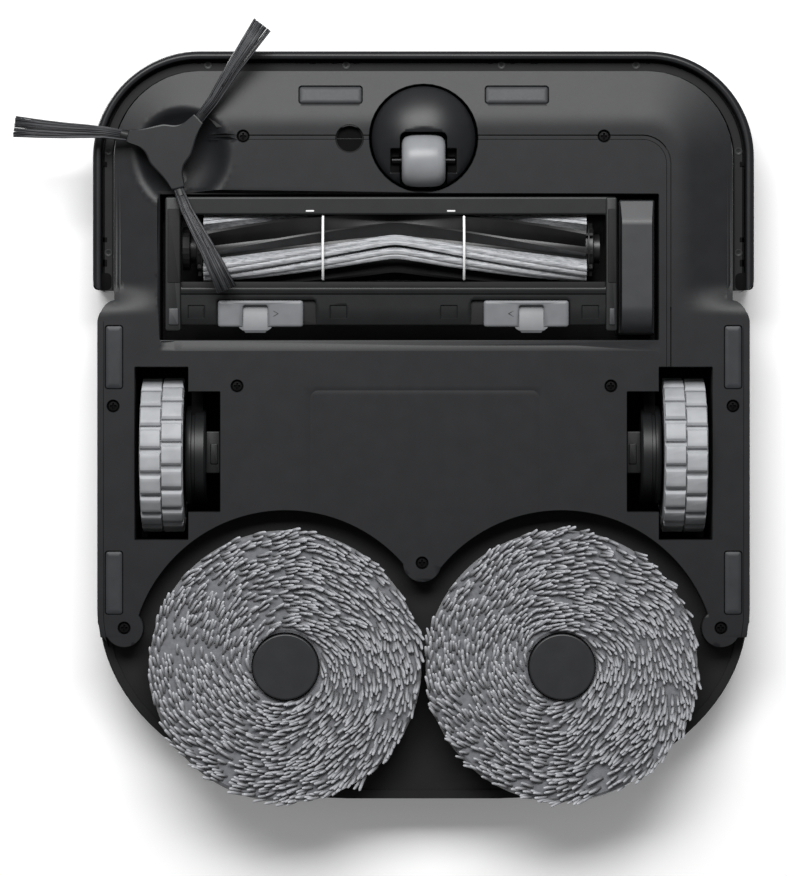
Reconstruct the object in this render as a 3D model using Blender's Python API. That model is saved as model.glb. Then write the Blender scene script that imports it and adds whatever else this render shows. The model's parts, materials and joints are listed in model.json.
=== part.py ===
"""Robot vacuum with a brush roller, a side brush and two spinning mops, built as the pieces it is
assembled from. Sizes below are in millimetres, measured from the point on the floor midway between
the drive wheels: +X to the right, +Y to the rear, +Z up. The model itself is in metres."""
import math

import bmesh
import bpy
from mathutils import Matrix, Vector

MM = 0.001
FRAME_SHIFT = (18.0, 20.0)          # moves the floor point to the middle of the whole machine

# Plan of the body
BUMPER = dict(front=160.0, front_y=-195.4, corner=51.5)
LIP = dict(front=149.6, front_y=-185.8, corner=41.5)
WALL = dict(front=142.0, front_y=-177.8, corner=34.0)
SEAM = dict(front=118.0, front_y=-158.5, corner=14.0)
SIDE_HALF = 157.3                    # half width behind the bumper
REAR_Y = 166.5
REAR_FLAT = 37.0                     # half width of the straight rear edge
REAR_START = 75.0                    # where the sides begin to curve in
NOTCH = (-79.6, -78.0, -74.8, -64.5)  # bumper end, step in, diagonal start and end

# Heights
BELLY_Z = 12.0
PLATE_TOP = 14.5
RECESS_TOP = 14.8
LIP_Z = (18.0, 20.5)
FLOOR_TOP = 18.5
TRAY_TOP = 40.0
SHELL_Z = (40.3, 84.5, 90.0, 93.4, 95.0)
SHELL_INNER_TOP = 92.0
SHELL_WALL = 2.5

# Wheels
WHEEL_R = 37.5
TYRE_INNER_R = 31.0
TYRE_X = (116.0, 136.8)
WELL_X = (113.6, 139.4)
WELL_Y = (-42.5, 41.0)
POCKET_X = 98.2
POCKET_Y = (-30.6, 27.5)
ARM_PIVOT = (-36.0, 31.0)

# Brush bay
BAY = (-127.3, 113.5, -126.0, -55.5)
CHAMBER_WALL = 1.6
CHAMBER_Z = (15.1, 46.0)
ROLLER_Y = -99.9
ROLLER_Z = 23.0
ROLLER_R = 18.0
ROLLER_X = (-112.7, 85.2)
ROLLER_START = math.radians(-39)      # where the first fin stands at mid-length
ROLLER_SWEEP = math.radians(60)       # how far each row runs round towards the ends
GUARD_X = (-124.7, 93.4)
GUARD_Y = (-124.5, -116.0, -83.7, -62.7)
GUARD_Z = (10.5, 13.3, 17.0)
LATCH_Y = (-74.5, -61.8)
LATCH_X = ((-99.2, -58.1), (29.0, 70.0))
LATCH_TRAVEL = 5.8

# Caster, side brush and sensors
CASTER_Y = -153.0
CASTER_R = 25.3
SOCKET_R = 26.3
CASTER_WHEEL = dict(y=-142.0, r=12.7, half=10.5)
DISH = (-118.5, -144.8, 23.0)
SIDE_HUB = (-123.0, -148.0)
SIDE_ANGLES = (-172.4, -52.3, 67.4)   # where each bundle of bristles ends
CARPET = (-35.7, -152.7, 6.7)
SCREWS = ((-87.1, -153.9), (87.1, -153.9), (-90.0, -33.3), (90.4, -33.3), (-149.8, -23.6),
          (149.3, -23.6), (-144.5, 83.5), (143.5, 83.5), (-0.7, 52.1))
SCREW_R = 3.0
WINDOWS = dict(front_left=(-44.9, -174.2), front_right=(45.1, -174.2), mid_left=(-149.4, -47.2),
               mid_right=(149.4, -47.2), rear_left=(-149.4, 61.7), rear_right=(149.4, 61.7))
WINDOW_SIZE = (30.0, 7.9)

# Mops
MOP_X = 66.5
MOP_Y = 101.8
PAD_R = 66.3
RECESS_R = 75.0
LOBE_R = 9.3
HUB_R = 15.8
CEILING = (22.5, 24.0, 26.5)
MOP_DISC_Z = (9.3, 12.5)

# Upper pieces
BIN = (-70.0, 70.0, -48.5, 23.0)
BIN_Z = (22.0, 94.8)
BIN_WALL = 2.0
HANDLE_Y = 10.0
TURRET_Y = 75.0
TURRET_R = 42.0
BUTTON_Y = -92.0

FRONT_SLOPE = math.atan2(LIP_Z[0] - BELLY_Z, abs(LIP["front_y"] - SEAM["front_y"]))

MATERIALS = dict(
    belly=((0.030, 0.031, 0.034), 0.55, 0.0), shell=((0.026, 0.026, 0.028), 0.42, 0.0),
    dark=((0.012, 0.012, 0.013), 0.6, 0.0), grey=((0.20, 0.21, 0.22), 0.5, 0.0),
    window=((0.13, 0.14, 0.15), 0.15, 0.0), rubber=((0.42, 0.43, 0.44), 0.7, 0.0),
    fin=((0.02, 0.02, 0.02), 0.6, 0.0), bristle=((0.35, 0.35, 0.36), 0.8, 0.0),
    steel=((0.6, 0.6, 0.62), 0.3, 1.0), felt=((0.24, 0.25, 0.27), 0.95, 0.0),
    circuit=((0.02, 0.10, 0.05), 0.5, 0.0))


def clear_scene():
    for thing in list(bpy.data.objects):
        bpy.data.objects.remove(thing, do_unlink=True)


def make_materials():
    for name, (color, roughness, metallic) in MATERIALS.items():
        material = bpy.data.materials.new(name)
        material.use_nodes = True
        shader = material.node_tree.nodes["Principled BSDF"]
        shader.inputs["Base Color"].default_value = (*color, 1.0)
        shader.inputs["Roughness"].default_value = roughness
        shader.inputs["Metallic"].default_value = metallic


# ---- solids, in millimetres until each is finished ----

def solid(verts, faces):
    mesh = bpy.data.meshes.new("solid")
    mesh.from_pydata([Vector(v) for v in verts], [], faces)
    shape = bmesh.new()
    shape.from_mesh(mesh)
    bmesh.ops.connect_verts_nonplanar(shape, angle_limit=math.radians(0.01), faces=shape.faces)
    bmesh.ops.recalc_face_normals(shape, faces=shape.faces)
    shape.to_mesh(mesh)
    shape.free()
    thing = bpy.data.objects.new("solid", mesh)
    bpy.context.scene.collection.objects.link(thing)
    return thing


def loft(rings, closed=False):
    """Skin over rings of equal length, capped at both ends, or joined into a loop when closed."""
    count = len(rings[0])
    verts = [v for ring in rings for v in ring]
    faces = []
    last = len(rings) if closed else len(rings) - 1
    for level in range(last):
        low = level * count
        high = ((level + 1) % len(rings)) * count
        for i in range(count):
            j = (i + 1) % count
            faces.append((low + i, low + j, high + j, high + i))
    if not closed:
        faces.append(tuple(reversed(range(count))))
        faces.append(tuple(range((len(rings) - 1) * count, len(rings) * count)))
    return solid(verts, faces)


def level(points, z):
    return [(x, y, z) for x, y in points]


def prism(points, low, high):
    return loft([level(points, low), level(points, high)])


def box(x, y, z):
    return prism([(x[0], y[0]), (x[1], y[0]), (x[1], y[1]), (x[0], y[1])], z[0], z[1])


def circle(x, y, r, count=32):
    return [(x + r * math.cos(2 * math.pi * i / count), y + r * math.sin(2 * math.pi * i / count))
            for i in range(count)]


def cylinder(x, y, r, low, high, count=32):
    return prism(circle(x, y, r, count), low, high)


def lying_cylinder(x, y, z, r, count=32):
    """A cylinder along X."""
    ring = circle(y, z, r, count)
    return loft([[(end, a, b) for a, b in ring] for end in x])


def turned(profile, x, y, count=32):
    """A solid of revolution about a vertical axis, from (radius, height) pairs away from the axis."""
    return loft([level(circle(x, y, r, count), z) for r, z in profile])


def rolled(profile, y, z, count=40, ring=True):
    """A solid turned about an axis along X, from (radius, x) pairs: a ring, or a disc with flat ends."""
    return loft([[(x, a, b) for a, b in circle(y, z, r, count)] for r, x in profile], closed=ring)


def combine(target, other, operation):
    """Applies one Boolean to target with other, which is used up."""
    cut = target.modifiers.new("cut", "BOOLEAN")
    cut.object = other
    cut.operation = operation
    cut.solver = "EXACT"
    seen = target.evaluated_get(bpy.context.evaluated_depsgraph_get())
    mesh = bpy.data.meshes.new_from_object(seen)
    target.modifiers.clear()
    target.data = mesh
    bpy.data.objects.remove(other, do_unlink=True)
    return target


def cut(target, *tools):
    for tool in tools:
        combine(target, tool, "DIFFERENCE")
    return target


def join(target, *others):
    for other in others:
        combine(target, other, "UNION")
    return target


def turn(thing, angle, axis, about):
    """Turns a solid's mesh about a line through a point."""
    centre = Vector(about)
    thing.data.transform(Matrix.Translation(centre) @ Matrix.Rotation(angle, 4, axis)
                         @ Matrix.Translation(-centre))
    return thing


def piece(name, thing, material, pivot=(0.0, 0.0, 0.0)):
    """Names a solid, gives it metres, its material and an origin at its pivot."""
    thing.name = name
    mesh = thing.data
    mesh.name = name
    shape = bmesh.new()
    shape.from_mesh(mesh)
    bmesh.ops.dissolve_limit(shape, angle_limit=math.radians(0.05), verts=shape.verts, edges=shape.edges)
    bmesh.ops.triangulate(shape, faces=shape.faces)
    shape.to_mesh(mesh)
    shape.free()
    mesh.transform(Matrix.Scale(MM, 4) @ Matrix.Translation(-Vector(pivot)))
    mesh.materials.clear()
    mesh.materials.append(bpy.data.materials[material])
    mesh.shade_smooth()
    mesh.set_sharp_from_angle(angle=math.radians(30))
    thing.location = Vector(pivot) * MM
    thing.parent = bpy.data.objects["frame"]
    return thing


# ---- outlines ----

def outline(front, front_y, corner, inset=0.0, notch_half=None, notch=NOTCH, side_half=SIDE_HALF):
    """Plan of the machine: rounded front, a step in each side, curved rear."""
    half = front - inset
    y0 = front_y + inset
    r = max(corner - inset, 1.0)
    side = side_half - inset
    step = (half if notch_half is None else notch_half - inset)
    right = []
    for i in range(9):
        a = -math.pi / 2 + i * math.pi / 16
        right.append((half - r + r * math.cos(a), y0 + r + r * math.sin(a)))
    right += [(half, notch[0]), (step, notch[1]), (step, notch[2]), (side, notch[3])]
    across = side - REAR_FLAT
    along = REAR_Y - inset - REAR_START
    for i in range(13):
        a = i * math.pi / 24
        right.append((REAR_FLAT + across * math.cos(a), REAR_START + along * math.sin(a)))
    return right + [(-x, y) for x, y in reversed(right)]


def mop_zone(grow, low, high, lobes=True):
    """The space over the two pads and the rear edge, which the belly leaves open."""
    zone = box((-180, 180), (88.0 - grow, 190), (low, high))
    for side in (-1, 1):
        join(zone, cylinder(side * MOP_X, MOP_Y, RECESS_R + grow, low, high, 64))
    join(zone, box((-20, 20), (55.0 - grow, 100), (low, high)))
    if lobes:
        for x, y in SCREWS[6:]:
            cut(zone, cylinder(x, y, LOBE_R, low - 1, high + 1, 24))
    return zone


def both(side, pair):
    """A pair of distances from the middle, as x limits on the given side."""
    return tuple(sorted(side * value for value in pair))


def tilted_box(x, y, size, low, high):
    """A box set flush with the front slope, between two depths from it."""
    height = BELLY_Z + (abs(y - SEAM["front_y"])) * math.tan(FRONT_SLOPE)
    block = box((x - size[0] / 2, x + size[0] / 2), (y - size[1] / 2, y + size[1] / 2),
                (height + low, height + high))
    return turn(block, -FRONT_SLOPE, "X", (x, y, height))


def window_block(name, grow, low, high):
    x, y = WINDOWS[name]
    if name.startswith("front"):
        return tilted_box(x, y, (WINDOW_SIZE[0] + 2 * grow, WINDOW_SIZE[1] + 2 * grow), low, high)
    half = (WINDOW_SIZE[1] / 2 + grow, WINDOW_SIZE[0] / 2 + grow)
    return box((x - half[0], x + half[0]), (y - half[1], y + half[1]), (BELLY_Z + low, BELLY_Z + high))


# ---- the lower body ----

def chassis_tray():
    lip = outline(**LIP)
    wall = outline(**WALL, side_half=SIDE_HALF - 0.5)
    seam = outline(**SEAM, side_half=SIDE_HALF - 2.0, notch=(-80.0, -77.0, -72.0, -64.2))
    tray = loft([level(seam, BELLY_Z), level(lip, LIP_Z[0]), level(lip, LIP_Z[1]),
                 level(wall, LIP_Z[1]), level(wall, TRAY_TOP)])
    inner = outline(**WALL, inset=SHELL_WALL)
    hollow = prism(inner, FLOOR_TOP, TRAY_TOP + 5)
    cut(hollow, mop_zone(3.0, 0, CEILING[2], lobes=False))
    cut(tray, hollow)
    recess = outline(**SEAM, inset=0.4, side_half=SIDE_HALF - 2.0, notch=(-80.0, -77.0, -72.0, -64.2))
    cut(tray, prism(recess, 5, RECESS_TOP))
    join(tray, cylinder(DISH[0], DISH[1], 25.0, FLOOR_TOP - 1.5, 24.0))
    cut(tray, mop_zone(0, 0, CEILING[0]))
    ceiling = prism(outline(**WALL, inset=4.0), 5, CEILING[1])
    combine(ceiling, mop_zone(0, 4, 30), "INTERSECT")
    cut(tray, ceiling)
    bowl = turned([(23.0, 5.0), (23.0, 16.0), (21.0, 18.6), (15.0, 20.4), (6.0, 21.2)], DISH[0], DISH[1])
    cut(tray, bowl, cylinder(SIDE_HUB[0], SIDE_HUB[1], 6.0, 15, 30, 20))
    cut(tray, cylinder(0, CASTER_Y, 27.0, 5, 30, 40))
    gap = CHAMBER_WALL + 0.4
    cut(tray, box((BAY[0] - gap, BAY[1] + gap), (BAY[2] - gap, BAY[3] + gap), (5, 30)))
    for side in (-1, 1):
        cut(tray, wheel_box(side, 1.1, 5, 30))
        cut(tray, cylinder(side * MOP_X, MOP_Y, 12.0, 15, 30, 24))
    cut(tray, cylinder(CARPET[0], CARPET[1], CARPET[2] - 0.5, 5, 30, 24))
    for name in ("front_left", "front_right"):
        cut(tray, window_block(name, 0.3, -5.0, 1.9))
    return piece("chassis_tray", tray, "shell")


def belly_plate():
    plan = outline(**SEAM, inset=0.8, side_half=SIDE_HALF - 2.0, notch=(-80.0, -77.0, -72.0, -64.2))
    plate = prism(plan, BELLY_Z, PLATE_TOP)
    cut(plate, mop_zone(0, 5, 30))
    cut(plate, cylinder(DISH[0], DISH[1], 23.2, 5, 30, 40), cylinder(0, CASTER_Y, SOCKET_R, 5, 30, 40))
    cut(plate, box(BAY[:2], BAY[2:], (5, 30)), cylinder(*CARPET, 5, 30, 24))
    for side in (-1, 1):
        cut(plate, box(both(side, WELL_X), WELL_Y, (5, 30)))
        cut(plate, box(both(side, (POCKET_X, WELL_X[0] + 1)), POCKET_Y, (5, 30)))
    for x, y in SCREWS:
        cut(plate, cylinder(x, y, SCREW_R, 5, 30, 16))
    for name in WINDOWS:
        if not name.startswith("front"):
            cut(plate, window_block(name, 0.3, -5, 5))
    return piece("belly_plate", plate, "belly")


def belly_screws():
    for number, (x, y) in enumerate(SCREWS, 1):
        head = turned([(2.6, 12.6), (2.6, PLATE_TOP - 0.1)], x, y, 12)
        cut(head, box((x - 0.4, x + 0.4), (y - 1.5, y + 1.5), (12, 13.4)),
            box((x - 1.5, x + 1.5), (y - 0.4, y + 0.4), (12, 13.4)))
        piece(f"belly_screw_{number}", head, "dark")


def cliff_windows():
    for name in WINDOWS:
        piece(f"cliff_window_{name}", window_block(name, 0.0, 0.1, 1.6), "window")


def carpet_sensor():
    eye = turned([(5.9, 14.9), (5.9, 24.0)], CARPET[0], CARPET[1], 24)
    piece("carpet_sensor", eye, "dark")


def wheel_box(side, grow, low, high, pocket_front=WELL_Y[0]):
    """The drive wheel's space: the well, and beside it the pocket for its gearbox."""
    well = box(both(side, (WELL_X[0] - grow, WELL_X[1] + grow)), (WELL_Y[0] - grow, WELL_Y[1] + grow),
               (low, high))
    return join(well, box(both(side, (POCKET_X - grow, WELL_X[0] + 1)),
                          (pocket_front - grow, POCKET_Y[1] + grow), (low, high)))


def wheel_housings():
    for side, word in ((-1, "left"), (1, "right")):
        housing = wheel_box(side, 0.8, RECESS_TOP + 0.3, 80.0)
        cut(housing, wheel_box(side, 0.0, 5, 79.0))
        piece(f"wheel_housing_{word}", housing, "dark")


def drive_wheels():
    for side, word in ((-1, "left"), (1, "right")):
        far, near = TYRE_X[1], TYRE_X[0]
        rim = [(TYRE_INNER_R, near), (WHEEL_R - 0.8, near), (WHEEL_R, near + 1), (WHEEL_R, far - 1),
               (WHEEL_R - 0.8, far), (TYRE_INNER_R, far)]
        tyre = rolled([(r, side * x) for r, x in rim], 0, WHEEL_R)
        axle = (side * (near + far) / 2, 0, WHEEL_R)
        piece(f"tyre_{word}", tyre, "rubber", axle)
        disc = [(10.0, near + 0.3), (TYRE_INNER_R - 0.3, near + 0.3), (TYRE_INNER_R - 0.3, far - 2),
                (24.0, far - 5), (8.0, far - 5), (6.0, far - 2)]
        hub = rolled([(r, side * x) for r, x in disc], 0, WHEEL_R, 32, ring=False)
        piece(f"wheel_hub_{word}", hub, "grey", axle)
        drum = lying_cylinder(both(side, (105.0, 115.3)), 0, WHEEL_R, 24.0)
        join(drum, lying_cylinder(both(side, (105.2, 114.0)), ARM_PIVOT[0], ARM_PIVOT[1], 4.0, 16))
        arm = loft([[(side * x, y, z) for y, z in ((ARM_PIVOT[0], 27.0), (-5, 22), (-5, 52),
                                                  (ARM_PIVOT[0], 35.0))] for x in (106.0, 113.5)])
        join(drum, arm, box(both(side, (99.0, 106.0)), (-10, 10), (28, 47)))
        piece(f"drive_gearbox_{word}", drum, "dark", (side * 110.0, *ARM_PIVOT))


# ---- brush ----

def brush_chamber():
    w = CHAMBER_WALL
    chamber = box((BAY[0] - w, BAY[1] + w), (BAY[2] - w, BAY[3] + w), CHAMBER_Z)
    cut(chamber, box(BAY[:2], BAY[2:], (5, CHAMBER_Z[1] - w)))
    cut(chamber, box((-28, 28), (BAY[3] - 3, BAY[3] + 5), (25, 40)))
    piece("brush_chamber", chamber, "dark")


def brush_gearbox():
    block = box((94.3, 111.7), (-123.5, -57.9), (11.5, 42))
    cut(block, box((109.2, 113), (-66, -57), (5, 50)))
    piece("brush_gearbox", block, "grey")


def brush_guard():
    x0, x1 = GUARD_X
    y0, y1, y2, y3 = GUARD_Y
    low, thin, thick = GUARD_Z
    guard = box((x0, x1), (y0, y3), (low, thin))
    cut(guard, box((-117.0, 87.8), (y1, y2), (5, 30)))
    join(guard, box((x0, x1), (-79.0, y3), (thin - 0.5, thick)))
    for (a, b), travel in zip(LATCH_X, (LATCH_TRAVEL, -LATCH_TRAVEL)):
        slot = (a - 0.4 + min(travel, 0), b + 0.4 + max(travel, 0))
        cut(guard, box(slot, (LATCH_Y[0] - 0.4, y3 + 1), (5, thin + 0.4)))
    piece("brush_guard", guard, "shell", (0, y0, 11.5))
    for x, word in ((-48.5, "left"), (19.5, "right")):
        rings = []
        for i in range(9):
            a = math.radians(-51 + 102 * i / 8)
            rings.append([(x + dx, ROLLER_Y + r * math.sin(a), ROLLER_Z - r * math.cos(a))
                          for dx, r in ((-0.6, 18.9), (0.6, 18.9), (0.6, 20.0), (-0.6, 20.0))])
        piece(f"guard_wire_{word}", loft(rings), "steel", (0, y0, 11.5))


def guard_latches():
    for (a, b), word in zip(LATCH_X, ("left", "right")):
        latch = box((a, b), LATCH_Y, GUARD_Z[:2])
        middle = (a + b) / 2 - (2.5 if word == "left" else -2.5)
        join(latch, box((middle - 6.5, middle + 6.5), (-62.5, -58.4), (10.5, 13.3)))
        cut(latch, box((middle - 4.5, middle + 4.5), (-72, -60), (8, 11.8)))
        piece(f"guard_latch_{word}", latch, "grey")


def chevron(turns, r0, r1, half_angle, x_limits, stations=11):
    """A fin or a bristle row that runs round the roller as a V with its point in the middle."""
    middle = sum(x_limits) / 2
    half = (x_limits[1] - x_limits[0]) / 2
    rings = []
    for i in range(stations):
        t = -1 + 2 * i / (stations - 1)
        centre = ROLLER_START + turns + ROLLER_SWEEP * abs(t)
        ring = []
        for r, a in ((r0, -half_angle), (r1, -half_angle * r0 / r1), (r1, half_angle * r0 / r1), (r0, half_angle)):
            angle = centre + a
            ring.append((middle + half * t, ROLLER_Y + r * math.cos(angle), ROLLER_Z + r * math.sin(angle)))
        rings.append(ring)
    return loft(rings)


def brush_roller():
    axis = (sum(ROLLER_X) / 2, ROLLER_Y, ROLLER_Z)
    body = (ROLLER_X[0] + 3, ROLLER_X[1] - 3)
    core = lying_cylinder(ROLLER_X, ROLLER_Y, ROLLER_Z, 7.0, 24)
    join(core, lying_cylinder(body, ROLLER_Y, ROLLER_Z, 11.0, 24))
    for i in range(3):
        join(core, chevron(2 * math.pi * i / 3, 10.0, ROLLER_R, 0.11, body))
    piece("brush_core", core, "fin", axis)
    rows = lying_cylinder((body[0] - 1.6, body[0] - 0.3), ROLLER_Y, ROLLER_Z, 13.5, 24)
    cut(rows, lying_cylinder((body[0] - 3, body[0] + 3), ROLLER_Y, ROLLER_Z, 7.4, 24))
    for i in range(3):
        join(rows, chevron(2 * math.pi * (i + 0.5) / 3, 11.4, ROLLER_R, 0.14, (body[0] - 1.0, body[1])))
    piece("brush_bristles", rows, "bristle", axis)
    cap = lying_cylinder((ROLLER_X[0] - 3.6, ROLLER_X[0] - 0.3), ROLLER_Y, ROLLER_Z, 10.5, 24)
    piece("brush_bearing", cap, "dark", axis)


def side_brush():
    x, y = SIDE_HUB
    hub = turned([(4.0, 6.2), (10.0, 6.5), (10.5, 9.8), (5.0, 10.2), (5.0, 19.0)], x, y, 24)
    for tip in SIDE_ANGLES:
        root = math.radians(tip + 9)
        arm = box((x + 4, x + 20.5), (y - 3.6, y + 3.6), (6.7, 9.9))
        join(hub, turn(arm, root, "Z", (x, y, 0)))
    piece("side_brush_hub", hub, "shell", (x, y, 8))
    sections = ((20.8, 9, 8.2, 4.6, 2.6), (31, 6, 5.9, 5.4, 2.2), (40, 3.5, 4.3, 6.4, 1.8),
                (50, 1.6, 2.8, 7.6, 1.4), (74, 0, 1.4, 10.0, 1.2))
    for number, tip in enumerate(SIDE_ANGLES, 1):
        rings = []
        for r, lead, z, width, thick in sections:
            a = math.radians(tip + lead)
            out = Vector((math.cos(a), math.sin(a)))
            across = Vector((-out.y, out.x)) * width / 2
            middle = Vector((x, y)) + out * r
            corners = [middle - across, middle + across]
            rings.append([(c.x, c.y, z + s * thick / 2) for s, order in ((-1, (0, 1)), (1, (1, 0)))
                          for c in (corners[order[0]], corners[order[1]])])
        piece(f"side_bristles_{number}", loft(rings), "fin", (x, y, 8))


# ---- caster ----

def caster():
    wheel_y, wheel_r, half = (CASTER_WHEEL[key] for key in ("y", "r", "half"))
    dome = turned([(3.0, 5.5), (11.0, 6.6), (18.0, 8.8), (23.0, 11.4), (CASTER_R, 13.8), (24.2, 15.4),
                   (24.2, 28.0), (4.0, 28.0), (4.0, 36.0)], 0, CASTER_Y, 40)
    cut(dome, box((-half - 0.8, half + 0.8), (wheel_y - wheel_r - 0.9, wheel_y + 2 * wheel_r),
                  (0, wheel_r * 2 + 1.2)))
    cut(dome, lying_cylinder((-16, 16), wheel_y, wheel_r, 2.0, 16))
    piece("caster_housing", dome, "shell", (0, CASTER_Y, 12))
    roll = [(2.1, -half), (wheel_r - 1.8, -half), (wheel_r - 0.5, -half + 3), (wheel_r, 0),
            (wheel_r - 0.5, half - 3), (wheel_r - 1.8, half), (2.1, half)]
    wheel = rolled(roll, wheel_y, wheel_r, 32)
    piece("caster_wheel", wheel, "grey", (0, wheel_y, wheel_r))
    piece("caster_axle", lying_cylinder((-15.6, 15.6), wheel_y, wheel_r, 1.7, 16), "steel",
          (0, wheel_y, wheel_r))


# ---- mops ----

def mops():
    carriage = box((-82, 82), (84, 120), (27.5, 46))
    join(carriage, cylinder(0, 102, 15, 45, 57, 24))
    piece("mop_carriage", carriage, "dark")
    for side, word in ((-1, "left"), (1, "right")):
        x = side * MOP_X
        disc = turned([(HUB_R - 1, 1.6), (HUB_R, 2.2), (HUB_R, MOP_DISC_Z[0]), (60.0, MOP_DISC_Z[0]),
                       (60.0, MOP_DISC_Z[1]), (8.0, MOP_DISC_Z[1]), (8.0, 27.2)], x, MOP_Y, 48)
        piece(f"mop_disc_{word}", disc, "grey", (x, MOP_Y, 0))
        outer, inner = PAD_R, HUB_R + 0.7
        profile = [(inner, 0.6), (inner + 3, 0.0), (outer - 3, 0.0), (outer, 2.5), (outer - 1, 9.0), (inner, 9.0)]
        pad = loft([level(circle(x, MOP_Y, r, 48), z) for r, z in profile], closed=True)
        piece(f"mop_pad_{word}", pad, "felt", (x, MOP_Y, 0))


# ---- bumper ----

def front_band(outer_inset, inner_inset, low, high):
    """A U round the front between two insets from the bumper's face."""
    outer = outline(**BUMPER, inset=outer_inset)
    inner = outline(**BUMPER, inset=inner_inset)
    count = len(outer)
    right_o, right_i = outer[:9], inner[:9]
    left_o, left_i = outer[count - 9:], inner[count - 9:]
    end = NOTCH[0]
    half_o, half_i = BUMPER["front"] - outer_inset, BUMPER["front"] - inner_inset
    path = ([(-half_o, end)] + left_o + right_o + [(half_o, end), (half_i, end)]
            + right_i[::-1] + left_i[::-1] + [(-half_i, end)])
    return prism(path, low, high)


def bumper():
    shell = front_band(0.0, 4.0, 15.0, 83.5)
    join(shell, front_band(3.5, 9.7, 20.8, 23.0), front_band(3.5, 9.7, 78.0, 80.0))
    cut(shell, box((-45, 45), (-200, -188), (45, 65)))
    piece("bumper_shell", shell, "shell")
    window = box((-44.6, 44.6), (-195.2, -191.8), (45.4, 64.6))
    piece("sensor_window", window, "window")


# ---- upper body ----

def top_shell():
    wall = outline(**WALL, side_half=SIDE_HALF)
    full = [outline(**BUMPER, inset=inset, notch_half=150.3) for inset in (0.0, 0.0, 1.6, 5.0)]
    rings = [level(wall, SHELL_Z[0]), level(wall, SHELL_Z[1] - 0.5)]
    rings += [level(plan, z) for plan, z in zip(full, SHELL_Z[1:])]
    shell = loft(rings)
    cut(shell, prism(outline(**WALL, inset=SHELL_WALL), 30, SHELL_INNER_TOP))
    cut(shell, box((BIN[0] - 0.5, BIN[1] + 0.5), (BIN[2] - 0.5, BIN[3] + 0.5), (85, 100)))
    cut(shell, cylinder(0, BUTTON_Y, 9.4, 85, 100, 32))
    return piece("top_shell", shell, "shell")


def power_button():
    button = turned([(11.0, 88.0), (11.0, 91.0), (9.0, 91.0), (9.0, 95.4), (8.4, 96.0)], 0, BUTTON_Y, 32)
    piece("power_button", button, "grey")


def turret():
    cap = turned([(TURRET_R, 95.3), (TURRET_R, 97.0)], 0, TURRET_Y, 48)
    join(cap, turned([(37.0, 109.0), (36.0, 111.2), (32.0, 112.0)], 0, TURRET_Y, 48))
    for i in range(3):
        a = math.radians(90 + 120 * i)
        join(cap, cylinder(35.0 * math.cos(a), TURRET_Y + 35.0 * math.sin(a), 1.8, 96.5, 109.5, 12))
    piece("turret_cover", cap, "shell")
    head = turned([(29.0, 97.5), (31.0, 98.5), (31.0, 107.5), (29.0, 108.5)], 0, TURRET_Y, 40)
    cut(head, box((-8, 8), (TURRET_Y - 35, TURRET_Y - 24), (100, 106)))
    piece("lidar_head", head, "dark", (0, TURRET_Y, 100))


def dust_bin():
    x0, x1, y0, y1 = BIN
    w = BIN_WALL
    tank = box((x0, x1), (y0, y1), BIN_Z)
    cut(tank, box((x0 + w, x1 - w), (y0 + w, y1 - w), (BIN_Z[0] + w, 88.5)))
    cut(tank, box((-28, 28), (y0 - 2, y0 + w + 1), (25, 40)))
    cut(tank, box((-36, 36), (-24, 14), (90.8, 100)))
    piece("dust_bin", tank, "dark")
    dust = box((-45, 45), (12, y1 - w - 0.4), (45, 80))
    piece("dust_filter", dust, "felt")
    bail = box((-33, 33), (-20, HANDLE_Y + 1.2), (91.3, 94.3))
    cut(bail, box((-28, 28), (-14, HANDLE_Y + 5), (85, 100)))
    piece("bin_handle", bail, "grey", (0, HANDLE_Y, 92.8))


def inner_units():
    piece("battery_pack", box((-65, 65), (-78, -56), (50, 80)), "grey")
    piece("main_board", box((-55, 55), (-172, -132), (60, 62)), "circuit")
    fan = turned([(22.0, 28.0), (25.0, 32.0), (25.0, 60.0), (12.0, 66.0)], 0, 55.5, 32)
    piece("suction_fan", fan, "dark")


def main():
    clear_scene()
    make_materials()
    frame = bpy.data.objects.new("frame", None)
    bpy.context.scene.collection.objects.link(frame)
    frame.location = (FRAME_SHIFT[0] * MM, FRAME_SHIFT[1] * MM, 0.0)
    for build in (chassis_tray, belly_plate, belly_screws, cliff_windows, carpet_sensor, wheel_housings,
                  drive_wheels, brush_chamber, brush_gearbox, brush_guard, guard_latches, brush_roller,
                  side_brush, caster, mops, bumper, top_shell, power_button, turret, dust_bin, inner_units):
        build()


main()
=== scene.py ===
"""Looks of the robot vacuum: moulded plastics, chenille mop pads, lugged tyres and brushes, made
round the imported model. Lengths below are in millimetres from the floor point between the drive
wheels, with +X across, +Y to the rear and +Z up, and are turned to metres when a piece is made."""
import json
import math
import random

import bmesh
import bpy
import numpy as np
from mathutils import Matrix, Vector
from mathutils.geometry import delaunay_2d_cdt


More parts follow.
